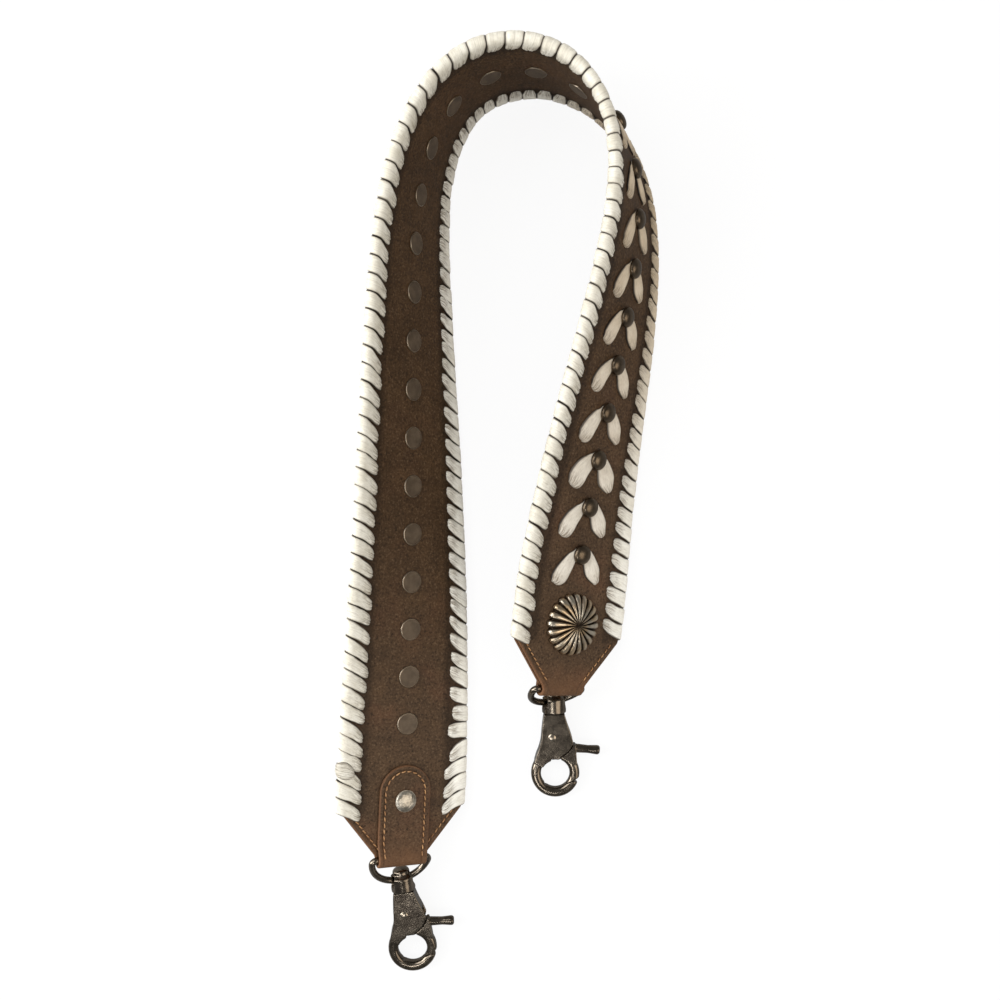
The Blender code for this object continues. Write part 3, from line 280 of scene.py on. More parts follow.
def finish_mesh(name, mesh, sharp):
    """Turns the faces outwards and smooths them, but for edges above the sharp angle in degrees."""
    built = bmesh.new()
    built.from_mesh(mesh)
    bmesh.ops.recalc_face_normals(built, faces=built.faces)
    built.to_mesh(mesh)
    built.free()
    mesh.shade_smooth()
    if sharp:
        mesh.set_sharp_from_angle(angle=math.radians(sharp))
    return add_object(name, mesh)


class Value:
    """A number or vector that varies over a surface. Arithmetic on it adds Math nodes."""

    def __init__(self, nodes, socket):
        self.nodes = nodes
        self.socket = socket

    def math(self, operation, *values):
        return self.nodes.add("ShaderNodeMath", {"operation": operation}, dict(enumerate(values)))

    def __add__(self, other):
        return self.math("ADD", self, other)

    def __sub__(self, other):
        return self.math("SUBTRACT", self, other)

    def __rsub__(self, other):
        return self.math("SUBTRACT", other, self)

    def __mul__(self, other):
        return self.math("MULTIPLY", self, other)

    def __abs__(self):
        return self.math("ABSOLUTE", self)

    def least(self, other):
        return self.math("MINIMUM", self, other)

    def step(self, low, high):
        """Smooth step from 0 at low to 1 at high, or falling where low is the larger."""
        bounds = (low, high, 0.0, 1.0) if high > low else (high, low, 1.0, 0.0)
        settings = {"interpolation_type": "SMOOTHSTEP"}
        return self.nodes.add("ShaderNodeMapRange", settings, dict(enumerate((self, *bounds))))

    def part(self, axis):
        return self.nodes.add("ShaderNodeSeparateXYZ", {}, {0: self}, axis)


class Nodes:
    """A node tree. add() makes one node and returns one of its outputs, wrapped."""

    def __init__(self, tree):
        self.tree = tree

    def add(self, kind, settings=None, values=None, output=0):
        made = self.tree.nodes.new(kind)
        for name, setting in (settings or {}).items():
            setattr(made, name, setting)
        for key, value in (values or {}).items():
            if isinstance(value, Value):
                self.tree.links.new(value.socket, made.inputs[key])
            else:
                made.inputs[key].default_value = value
        return Value(self, made.outputs[output])

    def ray(self, kind):
        return self.add("ShaderNodeLightPath", output=f"Is {kind} Ray")


class Finish(Nodes):
    """A material with one shader, the sockets of which are fixed here or fed later."""

    def __init__(self, name, **fixed):
        self.material = bpy.data.materials.new(name)
        self.material.use_nodes = True
        super().__init__(self.material.node_tree)
        self.shader = self.tree.nodes["Principled BSDF"]
        for socket, value in fixed.items():
            self.shader.inputs[socket.replace("_", " ")].default_value = value

    def feed(self, **sockets):
        for name, value in sockets.items():
            self.tree.links.new(value.socket, self.shader.inputs[name.replace("_", " ")])
        return self.material

    def point(self):
        return self.add("ShaderNodeTexCoord", output="Object")

    def marks(self):
        """The three marks that a piece's points carry."""
        marks = self.add("ShaderNodeAttribute", {"attribute_name": "marks"}, output="Vector")
        return [marks.part(axis) for axis in range(3)]

    def stretched(self, vector, scale, offset=(0, 0, 0)):
        return self.add("ShaderNodeMapping", {}, {"Vector": vector, "Scale": scale, "Location": offset})

    def joined(self, x, y, z):
        return self.add("ShaderNodeCombineXYZ", {}, {0: x, 1: y, 2: z})

    def noise(self, vector, scale, detail=3.0, roughness=0.5, distortion=0.0):
        values = {"Vector": vector, "Scale": scale, "Detail": detail, "Roughness": roughness}
        return self.add("ShaderNodeTexNoise", {}, {**values, "Distortion": distortion})

    def cells(self, vector, scale):
        return self.add("ShaderNodeTexVoronoi", {}, {"Vector": vector, "Scale": scale})

    def mixed(self, factor, first, second, blend="MIX"):
        """A colour from first to second by factor."""
        first, second = (v if isinstance(v, Value) else (*v, 1.0) for v in (first, second))
        settings = {"data_type": "RGBA", "blend_type": blend}
        return self.add("ShaderNodeMix", settings, {0: factor, 6: first, 7: second}, 2)

    def layered(self, colour, *coats):
        """A colour with coats laid over it in turn, each of them a share and a colour."""
        for share, coat in coats:
            colour = self.mixed(share, colour, coat)
        return colour

    def shade(self, colour, amount):
        """A colour darkened or lightened by a factor."""
        return self.mixed(1.0, colour, self.joined(amount, amount, amount), "MULTIPLY")

    def relief(self, *bumps):
        """Bumps laid over each other, each of them a height and the distance that it stands for."""
        under = {}
        for height, distance in bumps:
            values = {"Height": height, "Distance": distance, "Strength": 1.0, **under}
            under = {"Normal": self.add("ShaderNodeBump", {}, values)}
        return under["Normal"]


def oiled_leather():
    """Brown pull-up leather: cloudy tone, fine grain, scuffs, pale cut edges, burnished folds and painted
    shade in a band under the lacing tips. Its marks are along, across and the distance from the cut edge."""
    f = Finish("oiled_brown_leather_hide", Specular_IOR_Level=0.18)
    p = f.point()
    along, across, rim = f.marks()
    cloud = f.noise(p, 26.0, 4.0, 0.6)
    mottle = f.noise(p, 150.0, 5.0, 0.65)
    fleck = f.noise(p, 1150.0, 4.0, 0.75)
    blush = f.noise(f.stretched(p, (1.0, 1.0, 1.0), (0.3, 0.1, 0.7)), 42.0, 3.0, 0.55).step(0.5, 0.72)
    tone = (cloud * 0.4 + mottle * 0.6).step(0.30, 0.70)
    from_fold = along.least(STRAP_LENGTH - along)
    near_end = from_fold.step(150 * MM, 30 * MM)
    burnish = from_fold.step(16 * MM, 2 * MM) * (mottle * 0.6 + 0.55)
    cut_edge = rim.step(0.9 * MM, 0.1 * MM) * from_fold.step(46 * MM, 38 * MM)
    colour = f.layered(
        f.mixed(tone, (0.048, 0.0252, 0.0104), (0.076, 0.0408, 0.0172)),
        (near_end * 0.2, (0.138, 0.090, 0.060)),
        (blush * (near_end * 0.35 + 0.1), (0.125, 0.055, 0.028)),
        (fleck.step(0.52, 0.68) * 0.65, (0.165, 0.106, 0.060)),
        (fleck.step(0.48, 0.33) * 0.85, (0.011, 0.007, 0.004)),
        (burnish.least(1.0) * 0.5, (0.185, 0.085, 0.038)),
        (cut_edge * 0.6, (0.170, 0.078, 0.036)),
    )
    depth = HALF_WIDTH - abs(across)
    # painted shade: the leather is darkened in a band along each edge, under the lacing tips
    lace_tip_shade = depth.step(10.5 * MM, 7.0 * MM) * from_fold.step(20 * MM, 23 * MM)
    colour = f.shade(colour, (1.0 - lace_tip_shade * 0.45) * ((mottle - 0.5) * 0.3 + 1.0))
    grain = f.cells(p, 1500.0) * 0.6 + f.noise(p, 2600.0, 2.0) * 0.5
    scuffs = f.noise(f.stretched(p, (700.0, 60.0, 260.0)), 1.0, 4.0, 0.7, 0.4)
    groove = abs(rim - 2.15 * MM).step(0.75 * MM, 0.1 * MM) * from_fold.step(41 * MM, 39 * MM)
    return f.feed(
        Base_Color=colour,
        Roughness=mottle * 0.28 + scuffs * 0.12 + 0.36 - burnish * 0.08,
        Normal=f.relief((grain, 0.00009), (scuffs * 0.7 + mottle * 0.6, 0.00022), (1.0 - groove, 0.00030)),
    )


def soft_lace(name, light, dark, grime_and_shade, warm_shade=0.0):
    """Soft white lace leather: creases run along it with painted shade in them and in its sides, grime and
    painted shade lie at its slots, and painted warm tan shade, at the given share, lies on the stretch past
    the crown.

    Its marks are the share across the lace, the distance from its nearer slot and a number of its own."""
    f = Finish(name, Roughness=0.7)
    p = f.point()
    across, slot, own = f.marks()
    strand = f.joined(across * 4.6 + own * 37.0, slot * 130.0 + own * 11.0, own * 5.0)
    creases = f.noise(strand, 1.6, 4.0, 0.62, 0.35)
    fine = f.noise(f.joined(across * 12.0 + own * 19.0, slot * 420.0, own), 1.5, 3.0, 0.6)
    patch = f.noise(p, 210.0, 4.0, 0.6)
    near_slot = slot.step(5.6 * MM, 0.4 * MM)
    # painted shade: each wrap's sides darken towards the gaps between wraps
    side_shade = abs(across).step(0.70, 1.0)
    # painted warm shade: a tan cast over the stretch past the crown, where the lace faces away from the
    # lamps
    shaded_stretch = p.part(0).step(15 * MM, 45 * MM) * p.part(1).step(-30 * MM, 125 * MM)
    colour = f.layered(
        f.mixed(patch.step(0.3, 0.72), dark, light),
        (shaded_stretch * warm_shade, (0.48, 0.335, 0.16)),
        # painted shade along the fine lines and creases, mixed with grime near the slots
        (fine.step(0.52, 0.36) * (near_slot * 0.35 + 0.2), grime_and_shade),
        (creases.step(0.49, 0.41) * (near_slot * 0.8 + 0.14), grime_and_shade),
        ((side_shade * 0.6 + near_slot * 0.16).least(0.85), grime_and_shade),
        # painted shade: near-black lines at the lace's edges, where the wraps meet
        (abs(across).step(0.84, 0.94) * (own * 0.5 + 0.6).least(1.0), (0.022, 0.015, 0.010)),
    )
    return f.feed(
        Base_Color=colour,
        Roughness=patch * 0.2 + 0.52,
        Normal=f.relief(
            (creases * (near_slot * 0.9 + 0.4), 0.0004),
            (fine + f.noise(p, 2400.0, 2.0) * 0.5, 0.00010),
        ),
    )


def dark_plate(name, base, worn, rough=0.2, ripples=0.00005):
    """Polished plate over a casting: faint ripples, haze, grain and wear."""
    f = Finish(name, Metallic=1.0)
    p = f.point()
    haze = f.noise(p, 240.0, 4.0, 0.6)
    ripple = f.noise(p, 520.0, 3.0, 0.5)
    specks = f.noise(p, 2200.0, 2.0, 0.6)
    return f.feed(
        Base_Color=f.shade(f.mixed(haze.step(0.32, 0.7), base, worn), specks * 0.7 + 0.65),
        Roughness=haze * 0.16 + specks * 0.1 + (rough - 0.1),
        Normal=f.relief((ripple, ripples), (specks, SPECK_HEIGHT)),
    )


def cap_plate():
    """Brown plate of the rivets. Their marks are 1 on the flat back face, which is dull, and 1 on its
    rim, which is worn bright."""
    f = Finish("rivet_plate")
    p = f.point()
    flat, rim, _ = f.marks()
    haze = f.noise(p, 300.0, 4.0, 0.6)
    specks = f.noise(p, 2200.0, 2.0, 0.6)
    dull = f.mixed(haze.step(0.35, 0.65), (0.078, 0.053, 0.031), (0.122, 0.086, 0.053))
    colour = f.layered(
        f.mixed(haze.step(0.32, 0.7), (0.125, 0.094, 0.064), (0.19, 0.147, 0.103)),
        (flat, dull),
        (rim, (0.46, 0.38, 0.29)),
    )
    return f.feed(
        Base_Color=f.shade(colour, specks * 0.5 + 0.75),
        Metallic=1.0 - flat * 0.75,
        Roughness=haze * 0.14 + 0.25 + flat * 0.2,
        Normal=f.relief((specks, SPECK_HEIGHT)),
    )


def aged_silver(name, low, high):
    """Antiqued plate: bright on the ridges and dark in the hollows that the first mark gives."""
    f = Finish(name, Metallic=1.0)
    p = f.point()
    ridge = f.marks()[0]
    wear = f.noise(p, 700.0, 4.0, 0.6)
    warm = f.noise(p, 190.0, 2.0, 0.5)
    bright = (ridge + (wear - 0.5) * 0.5).step(0.52, 1.02)
    tarnished = tuple(c * k for c, k in zip(high, (0.95, 0.8, 0.62)))
    worn = f.mixed(warm.step(0.35, 0.65), high, tarnished)
    return f.feed(
        Base_Color=f.mixed(bright, low, worn),
        Roughness=0.46 - bright * 0.16,
        Normal=f.relief((wear, 0.00010)),
    )


def waxed_thread():
    """Tan waxed thread with a slight twist."""
    f = Finish("tan_thread", Roughness=0.5)
    p = f.point()
    return f.feed(
        Base_Color=f.mixed(f.noise(p, 300.0).step(0.3, 0.7), (0.27, 0.125, 0.047), (0.46, 0.25, 0.105)),
        Normal=f.relief((f.noise(p, 3200.0, 2.0), 0.00008)),
    )


LEATHER = oiled_leather()
# Each lace carries painted shade in its creases and sides, and the last two carry painted warm shade past
# the crown
EDGE_LACE = soft_lace("whip_lace", (0.82, 0.79, 0.695), (0.66, 0.62, 0.515), (0.20, 0.16, 0.11))
# painted light: a paler copy of the same lace for the inner edge, lightened to stand for light that edge
# lacks
LIGHTENED_LOW_LACE = soft_lace("inner_whip_lace_painted_lighter", (0.96, 0.94, 0.86), (0.88, 0.85, 0.75), (0.27, 0.22, 0.16), 0.8)
FACE_LACE = soft_lace("chevron_lace_hide", (0.84, 0.79, 0.69), (0.70, 0.64, 0.54), (0.24, 0.18, 0.12), 0.6)
GUNMETAL = dark_plate("gunmetal_plate", (0.15, 0.124, 0.096), (0.265, 0.222, 0.172), 0.17, 0.00002)
PIN_PLATE = dark_plate("worn_pin_plate", (0.24, 0.20, 0.15), (0.50, 0.43, 0.34), 0.2)
RIVET_PLATE = cap_plate()
SILVER = aged_silver("antiqued_silver", (0.055, 0.038, 0.025), (0.74, 0.66, 0.53))
NICKEL = dark_plate("worn_nickel", (0.34, 0.305, 0.245), (0.86, 0.80, 0.69), 0.34, 0.0003)
THREAD = waxed_thread()


def dress(obj, body, slot, finish, *replaced):
    """Gives a piece its finish, the body it rides on and the solids it stands for."""
    obj.data.materials.append(finish)
    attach(obj, body)
    if replaced:
        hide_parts(*replaced)


def taper_half_width(along):
    """Half the leather's width at a length from its fold: narrow at the bar, then widening."""
    near = np.minimum(along, STRAP_LENGTH - along)
    share = np.clip((near - TAPER_FOOT) / (TAPER_LENGTH - TAPER_FOOT), 0, 1)
    return END_WIDTH / 2 + share * (HALF_WIDTH - END_WIDTH / 2)


def tab_at(along):
    """Depth of the tab's inner face and half its width: it leaves the bar and settles on the liner."""
    settled = eased(BAR_ALONG, BAR_ALONG + TAB_SETTLE_LENGTH, along)
    bar_side = FOLD_INNER_RADIUS - BAR_DEPTH
    depth = bar_side + (TAB_INNER_FACE - bar_side) * settled
    return depth, END_WIDTH / 2 + (TAB_RADIUS - END_WIDTH / 2) * settled


def fold_line():
    """The folded end from the tab's tip round the bar: columns of inner (along, out), outer (along,
    out), half width, and thinning towards the tip."""
    turn = np.radians(np.linspace(4, 90, 26))
    tip = TAB_RADIUS * (1 - np.cos(turn))
    run = np.linspace(TAB_LENGTH - TAB_RADIUS, BAR_ALONG + TAB_SETTLE_LENGTH, 16)[1:]
    settle = np.linspace(1, 0, 9)[1:]
    along = np.r_[TAB_LENGTH - tip, run, BAR_ALONG + settle * TAB_SETTLE_LENGTH]
    depth, half = tab_at(along)
    half[: len(tip)] = TAB_RADIUS * np.sin(turn)
    rounding = (1 - (TAB_LENGTH - along) / (0.5 * MM)).clip(0, 1)
    thin = np.sqrt(np.clip(1 - rounding**2, 0.05, 1))
    flat = np.stack([along, -depth, along, -depth - FRONT_THICKNESS, half, thin], 1)
    bend = np.radians(np.linspace(0, 180, 17)[1:])
    sides = [
        (BAR_ALONG - radius * np.sin(bend), BAR_DEPTH - radius * np.cos(bend))
        for radius in (FOLD_INNER_RADIUS, FOLD_OUTER_RADIUS)
    ]
    ones = np.ones_like(bend)
    curl = np.stack([*sides[0], *sides[1], ones * END_WIDTH / 2, ones], 1)
    return np.concatenate([flat, curl])


def sheet_section(columns=45, corner=6):
    """Once round a sheet: share of its flat half width, offset past that, and share through it."""
    across = np.linspace(-1, 1, columns)
    turn = np.linspace(math.pi / 2, -math.pi / 2, corner + 2)[1:-1]
    share = np.r_[across, np.ones(corner), across[::-1], -np.ones(corner)]
    past = np.r_[np.zeros(columns), np.cos(turn), np.zeros(columns), -np.cos(turn)]
    through = np.r_[np.ones(columns), 0.5 + 0.5 * np.sin(turn), np.zeros(columns), 0.5 - 0.5 * np.sin(turn)]
    return share, past, through


def leather_sheet(name, line, edge):
    """A sheet along a line of (inner along, out, outer along, out, half width, thinning), with
    rounded edges. Its marks are along, across and the distance from the cut edge."""
    share, past, through = sheet_section()
    inner_along, inner_out, outer_along, outer_out, half, thin = (line[:, i, None] for i in range(6))
    half = np.maximum(half, edge * 1.02)
    level = 0.5 + (through - 0.5) * thin
    along = inner_along + (outer_along - inner_along) * level
    out = inner_out + (outer_out - inner_out) * level
    across = share * (half - edge) + past * edge
    rim = (half - np.abs(across)) + 0 * along
    tab_tip = np.minimum(along, STRAP_LENGTH - along) - (TAB_LENGTH - TAB_RADIUS)
    on_tab = (out < -TAB_INNER_FACE + 0.01 * MM) & (tab_tip > 0)
    rim = np.where(on_tab, TAB_RADIUS - np.hypot(across, tab_tip), rim)
    slanted = (np.minimum(along, STRAP_LENGTH - along) < TAPER_LENGTH) & ~on_tab
    rim = np.where(slanted & (out > -LINER_FACE - 0.01 * MM), rim * TAPER_SLANT, rim)
    puff = 0.06 * MM * np.sin(along / (7.3 * MM) + across / (9 * MM)) * np.sin(across / (6.1 * MM))
    points = place(along, across, out + puff * (np.abs(out) < 2 * MM))
    return surface(name, points, np.stack([along, across, rim], -1))


def main_run(inner, outer, first, last):
    along = np.linspace(first, last, 380)
    ones = np.ones_like(along)
    return np.stack([along, inner * ones, along, outer * ones, taper_half_width(along), ones], 1)


def mirrored(line):
    far = line[::-1].copy()
    far[:, [0, 2]] = STRAP_LENGTH - far[:, [0, 2]]
    return far


def build_leather():
    end = fold_line()
    middle = main_run(LAYER_GAP / 2, FRONT_FACE, BAR_ALONG, STRAP_LENGTH - BAR_ALONG)[1:-1]
    front = leather_sheet("front_hide", np.concatenate([end, middle, mirrored(end)]), 0.5 * MM)
    dress(front, "strap", "oiled_brown_leather", LEATHER, "front_leather")
    start = BAR_ALONG + FOLD_INNER_RADIUS
    back = main_run(-LAYER_GAP / 2, -LINER_FACE, start, STRAP_LENGTH - start)
    liner = leather_sheet("liner_hide", back, 0.45 * MM)
    dress(liner, "strap", "oiled_brown_leather", LEATHER, "back_liner")


def resampled(points, count):
    """Points spread evenly along a smooth curve through the given ones, and their distances."""
    points = np.asarray(points, float)
    length = run_along(points)
    fine = np.linspace(0, length[-1], 400)
    curve = np.stack([smooth_through(fine, length, points[:, i]) for i in range(points.shape[1])], 1)
    run = run_along(curve)
    even = np.linspace(0, run[-1], count)
    return np.stack([np.interp(even, run, curve[:, i]) for i in range(points.shape[1])], 1), even


def lace_section(top, under=4):
    """Once round a flat lace: share across it and 1 on its face, 0 beneath."""
    across = np.sin(np.linspace(-1, 1, top) * math.pi / 2)
    back = np.linspace(1, -1, under + 2)[1:-1]
    return np.r_[across, back], np.r_[np.ones(top), np.zeros(under)]


# Round a wrap and a V, the steps along them, and how they puff
WRAP_SHARE, WRAP_FACE = lace_section(17)
WRAP_STEPS = 42
ARM_SHARE, ARM_FACE = lace_section(13)
CHEVRON_STEPS = 76
PUFF_POWER = 0.6
TABLE_CLEARANCE = 0.00002


def finger(distance, length, power):
    """Rounded end: 0 at the tip, 1 from length on."""
    x = np.clip(distance / length, 0, 1)
    return (1 - (1 - x) ** power) ** (1 / power)


def outer_lace_fit(along):
    """Front reach, back reach and slack over the edge that stands free, looser at the left end, and
    how far the back tips fan towards the end."""
    at = along / MM
    back = np.interp(at, (0, 90, 150, 230, 320, 580), (6.1, 6.4, 6.2, 5.8, 5.6, 6.2))
    slack = np.interp(at, (20, 60, 150, 250, 320, 480, 560), (1.6, 1.1, 0.3, 0.0, 0.0, 0.3, 0.8))
    return 4.9 * MM, back * MM, slack * MM, 0.0


def inner_lace_fit(along):
    """The same for the edge that the strap lies on, where the last wraps of the left end fan out."""
    fan = eased(84 * MM, 24 * MM, along)
    fan = fan + 0.16 * eased(200 * MM, 250 * MM, along) * eased(400 * MM, 350 * MM, along)
    front = np.interp(along / MM, (300, 420, 480, 545), (5.4, 5.7, 6.5, 7.9))
    back = np.interp(along / MM, (0, 60, 120, 180, 230, 290, 360), (5.4, 5.5, 6.5, 6.4, 6.0, 6.7, 6.2))
    return front * MM, (back + 1.8 * fan**3) * MM, 0.45 * MM, fan


def half_wrap(reach, slack, face):
    """A wrap's route from its slot to the edge: depth from the edge and height over the middle."""
    return [
        (reach + 0.45 * MM, face - 0.75 * MM),
        (reach, face - 0.05 * MM),
        (reach * 0.6, face + 0.05 * MM),
        (1.5 * MM - slack * 0.3, face + 0.02 * MM),
        (0.3 * MM - slack * 0.7, face - 0.25 * MM),
        (-0.3 * MM - slack, face - 0.95 * MM),
    ]


def wrap_route(front, back, slack, spliced):
    """A wrap's middle line from its front slot round the edge to its back slot, and the distance
    along it. A spliced end has only the part over the edge."""
    route = half_wrap(front, slack, FRONT_FACE)
    route += [(-0.42 * MM - slack, (FRONT_FACE - LINER_FACE) / 2)]
    route += [(depth, -height) for depth, height in reversed(half_wrap(back, slack, LINER_FACE))]
    if spliced:
        route = route[5:10] + [(SPLICE_REACH, -LINER_FACE - 0.05 * MM)]
    return resampled(route, WRAP_STEPS)


def wrap_skin(rng, distance, from_tip, edge, height):
    """How far a wrap's skin stands off its middle line: puffed, squarer over the edge, with folds
    that gather at the slots. Also the phase of the wrap's wobble."""
    squared = (2.6 + 4.5 * edge + 1.2 * eased(1.5 * MM, 4.5 * MM, from_tip))[:, None]
    crest = (1 - np.abs(WRAP_SHARE) ** squared) ** PUFF_POWER
    gather = 1 - finger(from_tip, 4.8 * MM, 1.4)
    phase = rng.uniform(0, 2 * math.pi, 3)
    folds = np.sin(WRAP_SHARE * 8.5 + phase[0] + distance[:, None] / (3.8 * MM))
    folds = folds + 0.8 * np.sin(WRAP_SHARE * 15.0 + phase[1])
    rise = height[:, None] * crest * (1 - 0.04 * WRAP_SHARE)
    rise = rise + crest * folds * (0.035 * MM + 0.17 * MM * gather[:, None])
    return np.where(WRAP_FACE > 0, rise, -0.12 * MM), phase[2]


def lay_wrap(rng, middle, side, fit, spliced=False):
    """The points and marks of one wrap, which leans along the strap, with rounded ends. Wraps are
    untidier near the left end."""
    untidy = 1 + 1.6 * eased(75 * MM, 30 * MM, middle)
    front, back, slack, fan = fit(middle)
    front, back = (reach + untidy * rng.normal(0, 0.25 * MM) for reach in (front, back))
    slack = slack + (untidy - 1) * rng.normal(0, 0.15 * MM)
    lift, pull = (SPLICE_LIFT, 0.15) if spliced else (0.0, 1.0)
    path, distance = wrap_route(front, back, slack, spliced)
    step = unit(np.gradient(path, axis=0))
    total = distance[-1]
    from_tip = np.minimum(distance, total - distance)
    crown = distance[np.argmin(path[:, 0])]
    at_front = distance < crown
    from_crown = np.abs(distance - crown) / np.where(at_front, crown, total - crown)
    leans = [np.interp(middle / MM, LEAN_PLACES, shares) for shares in (FRONT_LEANS, BACK_LEANS)]
    lean = pull * WRAP_PITCH * np.where(at_front, *leans) * (1 + untidy * rng.normal(0, 0.08))
    lead = lean * from_crown**1.1 + 0.35 * MM * (1 - finger(from_tip, 3.2 * MM, 1.5))
    lead = lead - fan * WRAP_PITCH * 1.7 * from_crown**1.5
    edge = np.exp(-((np.clip(path[:, 0], 0, None) / (1.7 * MM)) ** 2))
    width = WRAP_PITCH * (0.935 + 0.09 * edge + untidy * rng.normal(0, 0.025))
    width = width * (1 + 0.7 * fan * (1 - fan) * from_crown)
    width = width * (0.14 + 0.86 * finger(from_tip, 3.4 * MM, 2.0))
    height = (0.88 + rng.normal(0, 0.08)) * MM * (0.1 + 0.9 * finger(from_tip, 2.4 * MM, 2.0))
    rise, phase = wrap_skin(rng, distance, from_tip, edge, height)
    rise = rise + lift
    lead = side * lead * np.where(at_front, 1.0, -1.0)
    lead = lead + (1 - edge) * 0.2 * MM * np.sin(distance / (2.9 * MM) + phase)
    along = middle + lead[:, None] + WRAP_SHARE * width[:, None] / 2
    across = HALF_WIDTH - path[:, 0, None] - step[:, 1, None] * rise
    points = place(along, side * across, path[:, 1, None] - step[:, 0, None] * rise)
    points[..., 2] = np.maximum(points[..., 2], TABLE_CLEARANCE)
    own = rng.uniform(0, 1)
    return points, np.stack(np.broadcast_arrays(WRAP_SHARE, from_tip[:, None], own), -1)


def build_edge_lacing(name, side, fit, seed, node, finish, splices=()):
    """Wraps over one edge. At a splice the lace's spare end lies over them."""
    rng = np.random.default_rng(seed)
    middles = [LACE_END_MARGIN + (wrap + 0.5) * WRAP_PITCH for wrap in range(WRAP_COUNT)]
    wraps = [lay_wrap(rng, middle, side, fit) for middle in middles]
    wraps += [lay_wrap(rng, middle, side, fit, spliced=True) for middle in splices]
    dress(surface(name, *zip(*wraps)), "strap", "white_lace", finish, node)


def chevron_route(rng):
    """Up from one slot, behind the rivet and down into the other: (along, across, out) about it."""
    by_slot = ((-0.35, -0.2, -0.7), (0, 0, -0.05), (1.7, 1.0, 0.1), (5.6, 3.2, 0.12))
    by_rivet = ((0.9, 3.85, 0.14), (-1.3, 2.5, 0.18))
    arms = []
    for side in (-1, 1):
        end_along = SLOT_ALONG + 0.6 * MM + rng.normal(0, 0.3 * MM)
        end_across = SLOT_ACROSS + (0.5 + 0.4 * side) * MM + rng.normal(0, 0.25 * MM)
        arm = [
            (end_along - back * MM, side * (end_across - inward * MM), FRONT_FACE + up * MM)
            for back, inward, up in by_slot
        ]
        arm += [(x * MM, side * y * MM, FRONT_FACE + up * MM) for x, y, up in by_rivet]
        arms.append(arm)
    return arms[0] + [(-2.2 * MM, 0, FRONT_FACE + 0.2 * MM)] + arms[1][::-1]


def lay_chevron(rng, along):
    """The points and marks of one V. Its first arm ends pointed and its second blunt."""
    path, distance = resampled(chevron_route(rng), CHEVRON_STEPS)
    step = unit(np.gradient(path, axis=0))
    square = unit(np.cross(UPWARD, step))
    upward = np.cross(step, square)
    total = distance[-1]
    from_slot = np.minimum(distance, total - distance)
    swell = (1 + rng.normal(0, 0.04)) * MM
    stations = (0, 2, 5, 8, 11, 13.2, 15)
    width = swell * np.interp(from_slot / MM, stations, (7.2, 7.9, 8.3, 7.6, 6.4, 5.0, 1.9))
    pointed, blunt = finger(from_slot, 6.4 * MM, 1.45), finger(from_slot, 3.4 * MM, 2.0)
    width = width * (0.13 + 0.87 * np.where(distance < total / 2, pointed, blunt))
    height = 1.2 * MM * (0.1 + 0.9 * finger(from_slot, 2.2 * MM, 2.0))
    height = height * np.interp(from_slot / MM, (0, 9, 13), (1.0, 1.0, 0.5))
    crest = (1 - np.abs(ARM_SHARE) ** 2.6) ** PUFF_POWER
    phase = rng.uniform(0, 2 * math.pi, 2)
    gather = 1 - finger(from_slot, 3.5 * MM, 1.4)
    folds = np.sin(ARM_SHARE * 7.0 + phase[0] + distance[:, None] / (5 * MM))
    rise = height[:, None] * crest + crest * folds * (0.03 * MM + 0.07 * MM * gather[:, None])
    rise = np.where(ARM_FACE > 0, rise, -0.1 * MM)
    sideways = square[:, None] * (ARM_SHARE * width[:, None] / 2)[..., None]
    local = path[:, None] + sideways + upward[:, None] * rise[..., None]
    points = place(along + local[..., 0], local[..., 1], local[..., 2])
    own = rng.uniform(0, 1)
    return points, np.stack(np.broadcast_arrays(ARM_SHARE, from_slot[:, None], own), -1)


def build_chevrons():
    """A V of lace at each rivet."""
    rng = np.random.default_rng(41)
    chevrons = [lay_chevron(rng, along) for along in RIVET_PLACES]
    dress(surface("chevron_laces", *zip(*chevrons)), "strap", "white_lace", FACE_LACE, "chevron_lace")


def quarter(centre, radii, start, stop, steps=7):
    """Points on an ellipse arc of a profile, degrees from +radius towards +height."""
    angle = np.radians(np.linspace(start, stop, steps))
    return [(centre[0] + radii[0] * math.cos(a), centre[1] + radii[1] * math.sin(a)) for a in angle]


def build_rivets():
    """A domed cap on the chevron, a shank through both leathers and a flat cap behind."""
    rim = FRONT_FACE + 1.3 * MM
    low = FRONT_FACE + 0.45 * MM
    cap = -LINER_FACE - 0.02 * MM
    profile = [(0.15 * MM, rim + 2.1 * MM)]
    profile += quarter((0, rim), (3.85 * MM, 2.1 * MM), 82, 4, 14)
    profile += quarter((3.47 * MM, rim - 0.1 * MM), (0.4 * MM, 0.4 * MM), 0, -90, 5)
    profile += [(3.0 * MM, low + 0.3 * MM), (1.2 * MM, low), (1.2 * MM, cap)]
    front_count = len(profile)
    profile += [(4.2 * MM, cap)]
    profile += quarter((3.9 * MM, cap - 0.2 * MM), (0.35 * MM, 0.32 * MM), 20, -84, 8)
    profile += [(3.75 * MM, cap - 0.5 * MM), (3.0 * MM, cap - 0.5 * MM)]
    profile += [(1.5 * MM, cap - 0.53 * MM), (0.2 * MM, cap - 0.54 * MM)]
    rings = turned_rings(profile, 40)
    behind = np.arange(len(profile)) - front_count
    zones = np.stack([behind >= 9, (behind >= 1) & (behind < 8), 0 * behind], -1) * 1.0
    marks = np.broadcast_to(zones[:, None], rings.shape)
    for number, along in enumerate(RIVET_PLACES, 1):
        name = f"rivet_{number:02d}"
        rivet = surface(f"{name}_caps", on_strap(along, rings), marks, sharp=50)
        dress(rivet, "strap", "gunmetal", RIVET_PLATE, name)


def from_end(end, along):
    """A length along the strap, given from one end's fold."""
    return along if end == "left" else STRAP_LENGTH - along


